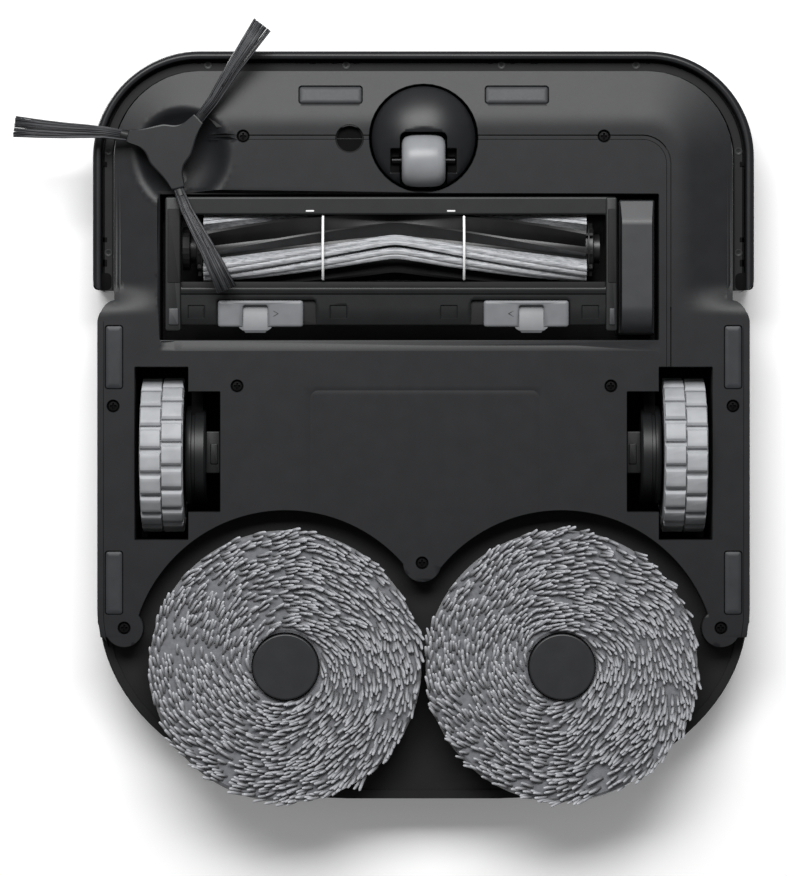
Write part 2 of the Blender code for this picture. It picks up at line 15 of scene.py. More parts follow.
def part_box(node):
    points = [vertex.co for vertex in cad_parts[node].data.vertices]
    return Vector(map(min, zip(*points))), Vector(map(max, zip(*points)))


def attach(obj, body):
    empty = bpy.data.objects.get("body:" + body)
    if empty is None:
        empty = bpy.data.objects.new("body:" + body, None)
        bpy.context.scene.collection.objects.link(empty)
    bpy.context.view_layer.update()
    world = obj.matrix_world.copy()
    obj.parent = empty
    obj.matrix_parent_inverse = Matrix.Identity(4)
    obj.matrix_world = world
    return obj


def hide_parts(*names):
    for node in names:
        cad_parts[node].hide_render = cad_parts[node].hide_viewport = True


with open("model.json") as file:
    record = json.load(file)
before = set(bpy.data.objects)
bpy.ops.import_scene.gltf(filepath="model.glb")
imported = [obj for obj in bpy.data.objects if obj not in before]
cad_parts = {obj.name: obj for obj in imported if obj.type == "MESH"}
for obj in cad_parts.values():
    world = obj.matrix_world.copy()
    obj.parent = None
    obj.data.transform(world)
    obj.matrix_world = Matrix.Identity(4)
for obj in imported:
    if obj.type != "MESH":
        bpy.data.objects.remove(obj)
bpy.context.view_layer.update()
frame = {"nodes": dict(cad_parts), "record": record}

MM = 0.001
LEFT_TYRE, RIGHT_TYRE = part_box("tyre_left"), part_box("tyre_right")
ORIGIN = Vector(((LEFT_TYRE[0][0] + RIGHT_TYRE[1][0]) / 2, (LEFT_TYRE[0][1] + LEFT_TYRE[1][1]) / 2, 0.0))


def local(node):
    """Lowest and highest corners of a CAD node, in this script's millimetres."""
    return [(Vector(corner) - ORIGIN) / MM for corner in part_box(node)]


# ---- sizes ----

BUMPER_BOX = local("bumper_shell")
TRAY_BOX = local("chassis_tray")
BUMPER_HALF = BUMPER_BOX[1].x
BUMPER_FRONT = BUMPER_BOX[0].y
BUMPER_END = BUMPER_BOX[1].y
BUMPER_R = 51.5                  # radius of the bumper's front corners in plan
SIDE_HALF = TRAY_BOX[1].x
REAR_Y = TRAY_BOX[1].y
REAR_FLAT, REAR_START = 37.0, 75.0   # the rear is straight to this x, and its curve starts at this y
STEP_HALF = 149.4                # half the width in the notch behind the bumper
SEAM = dict(half=119.6, front=-154.6, r=14.0)    # seam between the belly plate and the apron
BELLY_Z = 12.0                   # the flat belly's height over the floor
SKIN_Z = BELLY_Z - 0.15          # the outer skin lies just proud of the tray inside it
# openings: the brush bay's left, right, front and rear, a wheel well's and its gearbox pocket's spans
BAY = (-127.3, 113.5, -126.0, -55.5)
WELL_X, WELL_Y = (113.6, 139.4), (-42.5, 41.0)
POCKET_X, POCKET_Y = 98.2, (-30.6, 27.5)
WHEEL_R = RIGHT_TYRE[1][2] / MM / 2
TYRE_X = (local("tyre_right")[0].x, local("tyre_right")[1].x)
CASTER_Y, SOCKET_R = -153.0, 26.3
# the side brush: centre and radius of the bowl over it, its axis, and where its bristles point, in degrees
DISH = (-118.5, -144.8)
DISH_R = 24.5
SIDE_HUB = (-123.0, -148.0)
SIDE_ANGLES = (-172.4, -52.3, 67.4)
ARM_LEAD = 9.0                   # the hub's arms lead their bristle tips by this many degrees
CARPET = (-35.7, -152.7, 6.7)    # the carpet sensor's centre and radius
# belly screws, of which the last three sit on the lobes that reach into the mops' bay
SCREWS = ((-87.1, -153.9), (87.1, -153.9), (-90.0, -33.3), (90.4, -33.3), (-149.8, -23.6),
          (149.3, -23.6), (-144.5, 83.5), (143.5, 83.5), (-0.7, 52.1))
MOP_X, MOP_Y, PAD_R, RECESS_R, LOBE_R, HUB_R = 66.5, 101.8, 66.3, 75.0, 9.3, 15.8
ROLLER = dict(y=-99.9, z=23.0, r=18.0, x=(-112.7, 85.2))
ROLLER_START, ROLLER_SWEEP = -39.0, 60.0     # where the first fin's middle points, and how far its ends lag
# the guard: its ends, its front edge, the window's edges and its rear edge, and its underside
GUARD_X = (-124.7, 93.4)
GUARD_Y = (-124.5, -116.0, -83.7, -62.7)
GUARD_LOW = 10.5
LATCH_Y = (-74.5, -61.8)
LATCH_X = ((-99.2, -58.1), (29.0, 70.0))
LATCH_SLOTS = ((-99.6, -51.9), (22.8, 70.4))
SLOTS = {row["node"]: row["material_slot"] for row in frame["record"]["subparts"]}


# ---- materials ----

def hex_linear(code):
    """An sRGB hex colour as linear RGBA."""
    channels = [int(code[i:i + 2], 16) / 255 for i in (0, 2, 4)]
    return tuple(c / 12.92 if c <= 0.04045 else ((c + 0.055) / 1.055) ** 2.4 for c in channels) + (1.0,)


def add(tree, kind, settings=None, links=None):
    """Adds one node, with its settings and the sockets that feed it."""
    node = tree.nodes.new(kind)
    for key, value in (settings or {}).items():
        if isinstance(key, int) or key in node.inputs:
            node.inputs[key].default_value = value
        else:
            setattr(node, key, value)
    for key, source in (links or {}).items():
        tree.links.new(source, node.inputs[key])
    return node


def stops(ramp, *pairs):
    """Sets the two stops of a colour ramp, each a place along it and a hex colour."""
    for stop, (place, code) in zip(ramp.color_ramp.elements, pairs):
        stop.position, stop.color = place, hex_linear(code)


def surface(name, roughness, metallic=0.0, **sockets):
    """A new material with its node tree and its main shader."""
    material = bpy.data.materials.new(name)
    material.use_nodes = True
    shader = material.node_tree.nodes["Principled BSDF"]
    shader.inputs["Roughness"].default_value = roughness
    shader.inputs["Metallic"].default_value = metallic
    for key, value in sockets.items():
        shader.inputs[key.replace("_", " ")].default_value = value
    return material, material.node_tree, shader


FLOW_MM = 9.0                    # width of the faint patches that the melt's flow leaves


def moulded(name, dark, light, roughness, grain_mm=0.35, grain_depth=0.012, specular=0.5):
    """Injection-moulded ABS from a spark-eroded tool: even colour with a faint flow mottle, and a
    fine pebble grain that breaks the highlights into a satin haze."""
    material, tree, shader = surface(name, roughness, Specular_IOR_Level=specular)
    coords = add(tree, "ShaderNodeTexCoord").outputs["Object"]
    flow = add(tree, "ShaderNodeTexNoise", {"Scale": 1000 / FLOW_MM, "Detail": 3.0}, {"Vector": coords})
    ramp = add(tree, "ShaderNodeValToRGB", links={"Fac": flow.outputs["Fac"]})
    stops(ramp, (0.35, dark), (0.68, light))
    tree.links.new(ramp.outputs["Color"], shader.inputs["Base Color"])
    grain = add(tree, "ShaderNodeTexNoise", {"Scale": 1000 / grain_mm, "Detail": 2.0}, {"Vector": coords})
    spread = add(tree, "ShaderNodeMapRange", {"To Min": roughness - 0.05, "To Max": roughness + 0.07},
                 {"Value": grain.outputs["Fac"]})
    tree.links.new(spread.outputs["Result"], shader.inputs["Roughness"])
    bump = add(tree, "ShaderNodeBump", {"Strength": 0.35, "Distance": grain_depth * MM},
               {"Height": grain.outputs["Fac"]})
    tree.links.new(bump.outputs["Normal"], shader.inputs["Normal"])
    return material


# Near-black ABS: the textured belly is the dullest, the satin housing catches soft highlights, the inner
# walls take a darker copy as painted shade where little light reaches, and the grey caps and the gear cover
# stand out as lighter plastic.
BELLY = moulded("spark-textured ABS, belly", "18191B", "1C1D1F", 0.43, specular=0.33)
SHELL = moulded("satin moulded ABS, housing", "191A1C", "1D1E20", 0.38, grain_mm=0.5, specular=0.38)
# A darker copy of the plastic: painted shade on inner walls, groove floors and the tray, and the colour of
# the dark plastic parts.
DARK_ABS_AND_SHADE = moulded("matte moulded ABS, inner walls", "0C0C0D", "101011", 0.6, specular=0.3)
DARK = moulded("matte moulded PC-ABS, guard and drives", "151617", "191A1B", 0.42, specular=0.36)
GREY = moulded("satin moulded ABS, grey caps", "747679", "7C7E81", 0.4)
MID_GREY = moulded("satin moulded ABS, gear cover", "2E2F31", "333436", 0.42)


def streaked(name, dark, light, roughness, along, across_mm, length_mm):
    """Drawn nylon filaments lying side by side: thin tone lines that run with the fibres."""
    material, tree, shader = surface(name, roughness, Specular_IOR_Level=0.4)
    coords = add(tree, "ShaderNodeTexCoord").outputs["Object"]
    scale = [1000 / across_mm] * 3
    scale[along] = 1000 / length_mm
    stretch = add(tree, "ShaderNodeMapping", {"Scale": scale}, {"Vector": coords})
    lines = add(tree, "ShaderNodeTexNoise", {"Scale": 1.0, "Detail": 3.0, "Roughness": 0.6},
                {"Vector": stretch.outputs[0]})
    ramp = add(tree, "ShaderNodeValToRGB", links={"Fac": lines.outputs["Fac"]})
    stops(ramp, (0.32, dark), (0.66, light))
    tree.links.new(ramp.outputs["Color"], shader.inputs["Base Color"])
    bump = add(tree, "ShaderNodeBump", {"Strength": 0.3, "Distance": 0.05 * MM},
               {"Height": lines.outputs["Fac"]})
    tree.links.new(bump.outputs["Normal"], shader.inputs["Normal"])
    return material


def filament(name, dark, light, roughness):
    """Extruded nylon bristles, each with a tone of its own from the mesh's tone attribute."""
    material, tree, shader = surface(name, roughness, Specular_IOR_Level=0.4)
    tone = add(tree, "ShaderNodeAttribute", {"attribute_name": "tone"})
    ramp = add(tree, "ShaderNodeValToRGB", links={"Fac": tone.outputs["Fac"]})
    stops(ramp, (0.0, dark), (1.0, light))
    tree.links.new(ramp.outputs["Color"], shader.inputs["Base Color"])
    coords = add(tree, "ShaderNodeTexCoord").outputs["Object"]
    wear = add(tree, "ShaderNodeTexNoise", {"Scale": 900.0, "Detail": 2.0}, {"Vector": coords})
    spread = add(tree, "ShaderNodeMapRange", {"To Min": roughness - 0.08, "To Max": roughness + 0.1},
                 {"Value": wear.outputs["Fac"]})
    tree.links.new(spread.outputs["Result"], shader.inputs["Roughness"])
    return material


def cloth(name, dark, light, grain_mm, depth_mm, sheen, root=1.0, tip=1.0):
    """Microfibre: soft patches of tone, a fuzzy fine relief, a sheen from the loose fibre ends, and root and
    tip that paint shade at the strand roots and light at the tips.
    """
    material, tree, shader = surface(name, 0.62, Sheen_Weight=sheen, Sheen_Roughness=0.5,
                                     Specular_IOR_Level=0.4)
    coords = add(tree, "ShaderNodeTexCoord").outputs["Object"]
    patches = add(tree, "ShaderNodeTexNoise", {"Scale": 420.0, "Detail": 4.0}, {"Vector": coords})
    ramp = add(tree, "ShaderNodeValToRGB", links={"Fac": patches.outputs["Fac"]})
    stops(ramp, (0.3, dark), (0.7, light))
    # tone runs from a strand's root to its tip: the fade paints shade at the roots and light at the tips
    tone = add(tree, "ShaderNodeAttribute", {"attribute_name": "tone"})
    fade = add(tree, "ShaderNodeMapRange", {"From Min": 0.0, "From Max": 1.0, "To Min": root, "To Max": tip},
               {"Value": tone.outputs["Fac"]})
    tint = add(tree, "ShaderNodeVectorMath", {"operation": "SCALE"},
               {0: ramp.outputs["Color"], "Scale": fade.outputs["Result"]})
    tree.links.new(tint.outputs[0], shader.inputs["Base Color"])
    fuzz = add(tree, "ShaderNodeTexNoise", {"Scale": 1000 / grain_mm, "Detail": 3.0}, {"Vector": coords})
    bump = add(tree, "ShaderNodeBump", {"Strength": 0.9, "Distance": depth_mm * MM},
               {"Height": fuzz.outputs["Fac"]})
    tree.links.new(bump.outputs["Normal"], shader.inputs["Normal"])
    return material


HANDLING_MM = 0.4                # spacing of the fine handling marks


def metal(name, tone, roughness):
    """Bare metal with fine handling marks in its polish."""
    material, tree, shader = surface(name, roughness, metallic=1.0)
    shader.inputs["Base Color"].default_value = hex_linear(tone)
    coords = add(tree, "ShaderNodeTexCoord").outputs["Object"]
    marks = add(tree, "ShaderNodeTexNoise", {"Scale": 1000 / HANDLING_MM, "Detail": 3.0}, {"Vector": coords})
    spread = add(tree, "ShaderNodeMapRange", {"To Min": roughness - 0.08, "To Max": roughness + 0.12},
                 {"Value": marks.outputs["Fac"]})
    tree.links.new(spread.outputs["Result"], shader.inputs["Roughness"])
    return material


# Caps, latches and the caster wheel are smoother and paler plastic; the tyres and fins are softer and
# duller; the windows look like dark glass; and a near-black fill is painted shade in cavities, grooves and
# counterbores.
HUB = moulded("satin moulded ABS, brush and mop hubs", "222325", "27282A", 0.42, specular=0.4)
LATCH = moulded("satin moulded POM, latches", "6A6C6F", "727477", 0.42)
CASTER = moulded("moulded POM, caster wheel", "85878A", "8D8F92", 0.38, grain_mm=0.6, grain_depth=0.006)
TYRE = moulded("moulded thermoplastic rubber, tyres", "9C9EA1", "A8AAAD", 0.55, grain_mm=0.5,
               grain_depth=0.02)
FIN = moulded("moulded soft rubber, roller fins", "161617", "1C1C1D", 0.38, grain_mm=0.8, grain_depth=0.02)
# A near-black fill put where only shade falls: painted shade in cavities, grooves and counterbores.
SHADE_BLACK = moulded("painted shade, near-black fill for cavities", "050505", "070707", 0.8, specular=0.12)
WHITE = moulded("pad-printed white ink", "E6E6E6", "EEEEEE", 0.5)
WINDOW = moulded("infrared window, satin polycarbonate", "2C2E31", "323437", 0.46, grain_mm=0.7,
                 grain_depth=0.004, specular=0.36)
GLOSS = moulded("infrared window, polished dark polycarbonate", "0C0C0D", "0E0E10", 0.12, grain_mm=0.9,
                grain_depth=0.001)
BOARD = moulded("circuit board, solder resist over glass epoxy", "123A22", "16452A", 0.35)
# Bristles show as thin light and dark lines, the wires and screws as small bright or dull glints, and the
# pads as felt under loose, pale chenille with painted shade towards its roots and painted light at its tips.
STRIP = streaked("nylon bristle strip, light grey", "6E7073", "C0C2C5", 0.4, 0, 0.45, 60.0)
HAIR = filament("nylon filaments, dark grey", "08080A", "56575A", 0.42)
WIRE = metal("drawn steel, bright nickel plate", "FFFFFF", 0.5)
# The guard's steel wires are painted near-white as a stand-in for their bright glint.
GLINT_WHITE = moulded("steel wire painted white as its glint", "F2F2F2", "FAFAFA", 0.3)
SCREW = metal("black zinc plated steel", "262627", 0.3)
FELT = cloth("needled polyester felt", "66676B", "77787C", 0.5, 0.18, 0.3)
# The pile's colour fades from 0.2 at the roots to 1.5 at the tips: painted shade and painted light.
PILE = cloth("microfibre chenille", "86878B", "A8A9AD", 0.32, 0.1, 0.25, root=0.2, tip=1.5)


# ---- shapes, in millimetres ----

def finish_mesh(name, verts, faces, material, body, slot, smooth=30.0, node=(), recalc=True, merge=True):
    """Makes a piece from millimetre points, places it and lets it ride."""
    mesh = bpy.data.meshes.new(name)
    mesh.from_pydata([tuple(ORIGIN + Vector(v) * MM) for v in verts], [], faces)
    if merge or recalc:
        shape = bmesh.new()
        shape.from_mesh(mesh)
        if merge:
            bmesh.ops.remove_doubles(shape, verts=shape.verts, dist=1e-6)
        if recalc:
            bmesh.ops.recalc_face_normals(shape, faces=shape.faces)
        shape.to_mesh(mesh)
        shape.free()
    mesh.materials.append(material)
    mesh.shade_smooth()
    mesh.set_sharp_from_angle(angle=math.radians(smooth))
    thing = bpy.data.objects.new(name, mesh)
    bpy.context.scene.collection.objects.link(thing)
    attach(thing, body)
    if node:
        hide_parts(*([node] if isinstance(node, str) else node))
    return thing


class Shape:
    """Gathers the points and faces of one piece."""

    def __init__(self):
        self.verts = []
        self.faces = []

    def loft(self, rings, closed=False, caps=(True, True)):
        """Skin over rings of equal length; closed joins the last ring to the first."""
        base, count = len(self.verts), len(rings[0])
        for ring in rings:
            self.verts += [tuple(p) for p in ring]
        for k in range(len(rings) if closed else len(rings) - 1):
            a, b = base + k * count, base + ((k + 1) % len(rings)) * count
            for i in range(count):
                j = (i + 1) % count
                self.faces.append((a + i, a + j, b + j, b + i))
        if not closed:
            if caps[0]:
                self.faces.append(tuple(base + i for i in reversed(range(count))))
            if caps[1]:
                self.faces.append(tuple(base + (len(rings) - 1) * count + i for i in range(count)))
        return self

    def turned(self, profile, x, y, count=64, closed=False):
        """Turned about a vertical axis, from (radius, height) pairs."""
        return self.loft([[(x + r * math.cos(a), y + r * math.sin(a), z) for a in angles(count)]
                          for r, z in profile], closed)

    def rolled(self, profile, y, z, count=64, closed=False):
        """Turned about an axis along X, from (radius, x) pairs."""
        return self.loft([[(x, y + r * math.cos(a), z + r * math.sin(a)) for a in angles(count)]
                          for r, x in profile], closed)

    def slab(self, outline, low, high, edge=0.5):
        """A flat plate with a rounded lower edge, from an outline function of the inset."""
        steps = [(edge * (1 - math.sin(t)), low + edge * (1 - math.cos(t)))
                 for t in (math.pi / 2 * i / 3 for i in range(4))]
        rings = [[(x, y, z) for x, y in outline(inset)] for inset, z in steps]
        rings.append([(x, y, high) for x, y in outline(0.0)])
        return self.loft(rings)

    def make(self, name, material, body, slot, **rest):
        return finish_mesh(name, self.verts, self.faces, material, body, slot, **rest)


def angles(count, start=0.0, sweep=2 * math.pi):
    """Even steps round a turn or a part of one."""
    return [start + sweep * i / count for i in range(count)]


def rounded(x0, x1, y0, y1, r, steps=6):
    """A rounded rectangle as a function of its inset."""
    def points(inset=0.0):
        a0, a1, b0, b1 = x0 + inset, x1 - inset, y0 + inset, y1 - inset
        q = max(r - inset, 0.05)
        corners = ((a1 - q, b1 - q, 0), (a0 + q, b1 - q, 90), (a0 + q, b0 + q, 180), (a1 - q, b0 + q, 270))
        return [(cx + q * math.cos(math.radians(d + 90 * i / steps)),
                 cy + q * math.sin(math.radians(d + 90 * i / steps)))
                for cx, cy, d in corners for i in range(steps + 1)]
    return points


def disc(x, y, r, count=48):
    """A circle as a function of its inset."""
    return lambda inset=0.0: [(x + (r - inset) * math.cos(a), y + (r - inset) * math.sin(a))
                              for a in angles(count)]


def body_outline(inset=0.0, step_half=STEP_HALF, front_half=BUMPER_HALF, front=BUMPER_FRONT, r=BUMPER_R,
                 side=SIDE_HALF, rear=REAR_Y, notched=True):
    """Plan of the machine, anticlockwise from the front: corner, rounded step in the side, curved rear."""
    half, y0, q = front_half - inset, front + inset, max(r - inset, 1.0)
    right = [(half - q + q * math.sin(a), y0 + q - q * math.cos(a))
             for a in (math.pi / 32 * i for i in range(17))]
    step = step_half - inset if notched else half
    out = side - inset
    right += [(half, BUMPER_END), (step, BUMPER_END + 1.6), (step, BUMPER_END + 4.8)]
    for i in range(7):
        a = math.pi / 2 * i / 6
        right.append((step + (out - step) * math.sin(a), BUMPER_END + 15 - 10.2 * math.cos(a) ** 1.4))
    across, along = out - REAR_FLAT, rear - inset - REAR_START
    for i in range(25):
        a = math.pi / 48 * i
        right.append((REAR_FLAT + across * math.cos(a), REAR_START + along * math.sin(a)))
    return right + [(-x, y) for x, y in reversed(right)]


# ---- flat pieces with openings, shaped by a height rule ----

def edge_gap(kind, values, x, y):
    """Signed distance from an edge given as (kind, values)."""
    return box_gap(x, y, *values) if kind == "box" else circle_gap(x, y, *values)


def edge_loop(kind, values, grow):
    """An opening's or plate's edge, let out by grow."""
    if kind == "box":
        x0, x1, y0, y1, r = values
        return rounded(x0 - grow, x1 + grow, y0 - grow, y1 + grow, max(r + grow, 0.02), 5)()
    return disc(values[0], values[1], values[2] + grow, 64 if values[2] > 12 else 24)()


def thicken(thing, thick, smooth=50.0):
    """Turns an open sheet that faces down into a closed piece with upright sides."""
    shape = bmesh.new()
    shape.from_mesh(thing.data)
    bmesh.ops.delete(shape, geom=[v for v in shape.verts if not v.link_faces], context="VERTS")
    for face in shape.faces:
        if face.normal.z > 0:
            face.normal_flip()
    rim = [e for e in shape.edges if e.is_boundary]
    back = bmesh.ops.duplicate(shape, geom=shape.faces[:] + shape.edges[:] + shape.verts[:])
    pairs = back["vert_map"]
    for face in [g for g in back["geom"] if isinstance(g, bmesh.types.BMFace)]:
        face.normal_flip()
    for v in [g for g in back["geom"] if isinstance(g, bmesh.types.BMVert)]:
        v.co.z += thick * MM
    for e in rim:
        loop = e.link_loops[0]
        a, b = loop.vert, loop.link_loop_next.vert
        shape.faces.new((b, a, pairs[a], pairs[b]))
    shape.to_mesh(thing.data)
    shape.free()
    thing.data.shade_smooth()
    thing.data.set_sharp_from_angle(angle=math.radians(smooth))
    return thing


def plate(name, outer, holes, height, thick, material, body, slot, edge=0.45, drop=0.35, step=2.0, node=(),
          smooth=50.0, lines=(), marks=()):
    """A closed plate with chamfered edges: outer and holes are (kind, values), and height gives its lower
    face, with mesh edges along the lines (across X) and round the marks."""
    points, edges = [], []
    for y in lines:
        x0, x1 = outer[1][0] + edge + 0.1, outer[1][1] - edge - 0.1
        base = len(points)
        points.extend(Vector((x0 + (x1 - x0) * i / 60, y)) for i in range(61))
        edges.extend((base + i, base + i + 1) for i in range(60))
    for index, (kind, values) in enumerate([outer] + holes + list(marks)):
        grows = (0.0, -edge if index == 0 else edge) if index <= len(holes) else (0.0, -0.4)
        for grow in grows:
            loop = edge_loop(kind, values, grow)
            base = len(points)
            points.extend(Vector(p) for p in loop)
            edges.extend((base + i, base + (i + 1) % len(loop)) for i in range(len(loop)))

    def gap(x, y):
        return min([-edge_gap(*outer, x, y)] + [edge_gap(kind, values, x, y) for kind, values in holes])

    xs, ys = [p.x for p in points], [p.y for p in points]
    count_x, count_y = int((max(xs) - min(xs)) / step), int((max(ys) - min(ys)) / step)
    for i in range(1, count_x + 1):
        for j in range(1, count_y + 1):
            x = min(xs) + (max(xs) - min(xs)) * i / (count_x + 1) + 0.013 * (j % 3)
            y = min(ys) + (max(ys) - min(ys)) * j / (count_y + 1) + 0.017 * (i % 3)
            if gap(x, y) > edge + 0.3:
                points.append(Vector((x, y)))
    verts, _, faces, *_ = delaunay_2d_cdt(points, edges, [], 0, 1e-5)
    kept = [f for f in faces if gap(sum(verts[i].x for i in f) / 3, sum(verts[i].y for i in f) / 3) > 0]
    flat = []
    for v in verts:
        g = max(gap(v.x, v.y), 0.0)
        flat.append((v.x, v.y, height(v.x, v.y) + drop * max(0.0, 1 - g / edge) ** 2))
    thing = finish_mesh(name, flat, kept, material, body, slot, node=node, recalc=False)
    return thicken(thing, thick, smooth)


# ---- the underside skin: one sheet with every opening, shaped by a height rule ----

def box_gap(x, y, x0, x1, y0, y1, r=0.0):
    """Signed distance from a rounded rectangle's edge, negative inside."""
    dx = abs(x - (x0 + x1) / 2) - (x1 - x0) / 2 + r
    dy = abs(y - (y0 + y1) / 2) - (y1 - y0) / 2 + r
    return math.hypot(max(dx, 0), max(dy, 0)) + min(max(dx, dy), 0) - r


def circle_gap(x, y, cx, cy, r):
    """Signed distance from a circle, negative inside."""
    return math.hypot(x - cx, y - cy) - r


def mop_gap(x, y):
    """Signed distance from the edge of the mops' bay, negative inside; three screw lobes reach into it."""
    open_bay = min(circle_gap(x, y, -MOP_X, MOP_Y, RECESS_R), circle_gap(x, y, MOP_X, MOP_Y, RECESS_R),
                   88.0 - y, max(abs(x) - 20.0, 55.0 - y))
    lobe = min(circle_gap(x, y, cx, cy, LOBE_R) for cx, cy in SCREWS[6:])
    return max(open_bay, -lobe)


FRONT_LIP = dict(half=149.4, front=-185.6, r=41.3)


def lip_inset(x, y):
    """How far a point lies inside the bumper's inner edge, at the front and along its arms."""
    r = FRONT_LIP["r"]
    dx = abs(x) - (FRONT_LIP["half"] - r)
    dy = (FRONT_LIP["front"] + r) - y
    if dx > 0 and dy > 0:
        return r - math.hypot(dx, dy)
    return r - max(dx, dy)


def skin_height(x, y):
    """Flat belly, an apron that rises smoothly to the lip, and a bowl over the side brush."""
    slope, start, blend = 0.238, 19.5, 8.5
    d = max(lip_inset(x, y), 0.0)
    if d < start:
        rise = slope * (start - d) + slope * blend / 2
    else:
        rise = slope * max(start + blend - d, 0.0) ** 2 / (2 * blend)
    fade = min(max((-68.0 - y) / 15.0, 0.0), 1.0)
    z = SKIN_Z + rise * fade * fade * (3 - 2 * fade)
    if BAY[0] + 1 < x < BAY[1] - 1 and BAY[3] <= y < -50.2:
        z += 0.24 * (-50.2 - y)
    q = math.hypot(x - DISH[0], y - DISH[1]) / DISH_R
    bowl = 20.2 - 8.4 * q ** 2.6
    k = 3.0
    h = min(max(0.5 + 0.5 * (bowl - z) / k, 0.0), 1.0)
    return z + (bowl - z) * h + k * h * (1 - h) * 0.5


WINDOWS = {}
for window in ("front_left", "front_right", "mid_left", "mid_right", "rear_left", "rear_right"):
    low, high = local("cliff_window_" + window)
    WINDOWS[window] = (low.x, high.x, low.y, high.y)


def underside():
    """Belly plate and apron, cut from one sheet so that their seam fits."""
    bevel = 0.25
    holes = [("box", (BAY[0], BAY[1], BAY[2], BAY[3], 0.6)), ("circle", (0.0, CASTER_Y, SOCKET_R)),
             ("circle", CARPET), ("circle", (SIDE_HUB[0], SIDE_HUB[1], 5.7))]
    for side in (-1, 1):
        xs = sorted((side * WELL_X[0], side * WELL_X[1]))
        holes.append(("box", (xs[0], xs[1], WELL_Y[0], WELL_Y[1], 0.5)))
        xs = sorted((side * POCKET_X, side * (WELL_X[0] + 2)))
        holes.append(("box", (xs[0], xs[1], POCKET_Y[0], POCKET_Y[1], 0.5)))
    holes += [("circle", (x, y, 3.0)) for x, y in SCREWS]
    holes += [("box", (x0 - 0.35, x1 + 0.35, y0 - 0.35, y1 + 0.35, 1.4))
              for x0, x1, y0, y1 in WINDOWS.values()]

    def gap(x, y):
        nearest = mop_gap(x, y)
        for kind, values in holes:
            nearest = min(nearest, box_gap(x, y, *values) if kind == "box" else circle_gap(x, y, *values))
        return nearest

    points, edges = [], []

    def loop(outline):
        base = len(points)
        points.extend(Vector(p) for p in outline)
        edges.extend((base + i, base + (i + 1) % len(outline)) for i in range(len(outline)))

    def outer(inset=0.0):
        return body_outline(inset, front_half=FRONT_LIP["half"], front=FRONT_LIP["front"], r=FRONT_LIP["r"],
                            side=SIDE_HALF - 0.2, rear=REAR_Y - 0.2)

    seam = rounded(-SEAM["half"], SEAM["half"], SEAM["front"], 60.0, SEAM["r"], 10)
    loop(outer())
    loop(outer(0.5))
    for inset in (0.0, 0.55, 2.2, 2.42):
        loop(seam(inset))
    for inset in (2.5, 2.72):
        loop(outer(inset))
    for inset in (0.0, 0.2, 0.4):
        loop(rounded(-54.8 + inset, 56.2 - inset, -31.4 + inset, 80.0 - inset, 4.0 - inset, 5)())
    for y in (-50.2, BAY[3] + 0.5):
        loop([(BAY[0] + 1, y), (BAY[1] - 1, y), (BAY[1] - 1, y + 0.02), (BAY[0] + 1, y + 0.02)])
    for kind, values in holes:
        for grow in (0.0, bevel):
            if kind == "box":
                x0, x1, y0, y1, r = values
                loop(rounded(x0 - grow, x1 + grow, y0 - grow, y1 + grow, r + grow, 4)())
            else:
                loop(disc(values[0], values[1], values[2] + grow, 40 if values[2] > 8 else 24)())
    for grow in (0.0, bevel):
        for side in (-1, 1):
            loop(disc(side * MOP_X, MOP_Y, RECESS_R + grow, 120)())
        for x, y in SCREWS[6:]:
            loop(disc(x, y, LOBE_R - grow, 36)())
    loop([(-170.0, 88.0), (170.0, 88.0), (170.0, 87.9), (-170.0, 87.9)])
    rng = random.Random(4)
    x = -FRONT_LIP["half"]
    while x < 158:
        y = FRONT_LIP["front"]
        while y < 96:
            near_dish = math.hypot(x - DISH[0], y - DISH[1]) < DISH_R + 4
            sloped = lip_inset(x, y) < 30 and y < -48
            if near_dish or sloped or (round(x / 1.6) % 3 == 0 and round(y / 1.6) % 3 == 0):
                if gap(x, y) > bevel + 0.5:
                    points.append(Vector((x + rng.uniform(-0.05, 0.05), y + rng.uniform(-0.05, 0.05))))
            y += 1.6
        x += 1.6
    verts, _, faces, *_ = delaunay_2d_cdt(points, edges, [], 0, 1e-5)
    border, ring_a, ring_b = (np.array(outer(inset)) for inset in (0.0, 2.5, 2.72))

    def inside(px, py, ring=border):
        xs, ys = ring[:, 0], ring[:, 1]
        x2, y2 = np.roll(xs, -1), np.roll(ys, -1)
        cross = ((ys > py) != (y2 > py)) & (px < (x2 - xs) * (py - ys) / (y2 - ys + 1e-12) + xs)
        return int(cross.sum()) % 2 == 1

    height = []
    for v in verts:
        g = gap(v.x, v.y)
        edge = max(0.0, 1 - max(g, 0.0) / bevel)
        line = abs(box_gap(v.x, v.y, -54.6, 56.0, -31.2, 79.8, 3.8))
        height.append(skin_height(v.x, v.y) + 0.25 * edge ** 2 + 0.03 * max(0.0, 1 - line / 0.2))
    belly, apron = [], []
    for face in faces:
        cx = sum(verts[i].x for i in face) / 3
        cy = sum(verts[i].y for i in face) / 3
        if gap(cx, cy) < 0 or not inside(cx, cy):
            continue
        s = -box_gap(cx, cy, -SEAM["half"], SEAM["half"], SEAM["front"], 60.0, SEAM["r"])
        if (0 < s < 0.55 or 2.2 < s < 2.42) and cy < WELL_Y[0] and cx > SCREWS[0][0]:
            continue
        if cy > -60 and inside(cx, cy, ring_a) and not inside(cx, cy, ring_b):
            continue
        (belly if s > 0 else apron).append(face)
    flat = [(v.x, v.y, z) for v, z in zip(verts, height)]
    sheets = (("belly_skin", belly, 2.2, "belly_plate"), ("apron_skin", apron, 0.3, ()))
    for name, chosen, thick, node in sheets:
        sheet = finish_mesh(name, flat, chosen, BELLY, "chassis", "belly_plastic", node=node, recalc=False)
        thicken(sheet, thick, smooth=38.0)


# ---- bumper ----

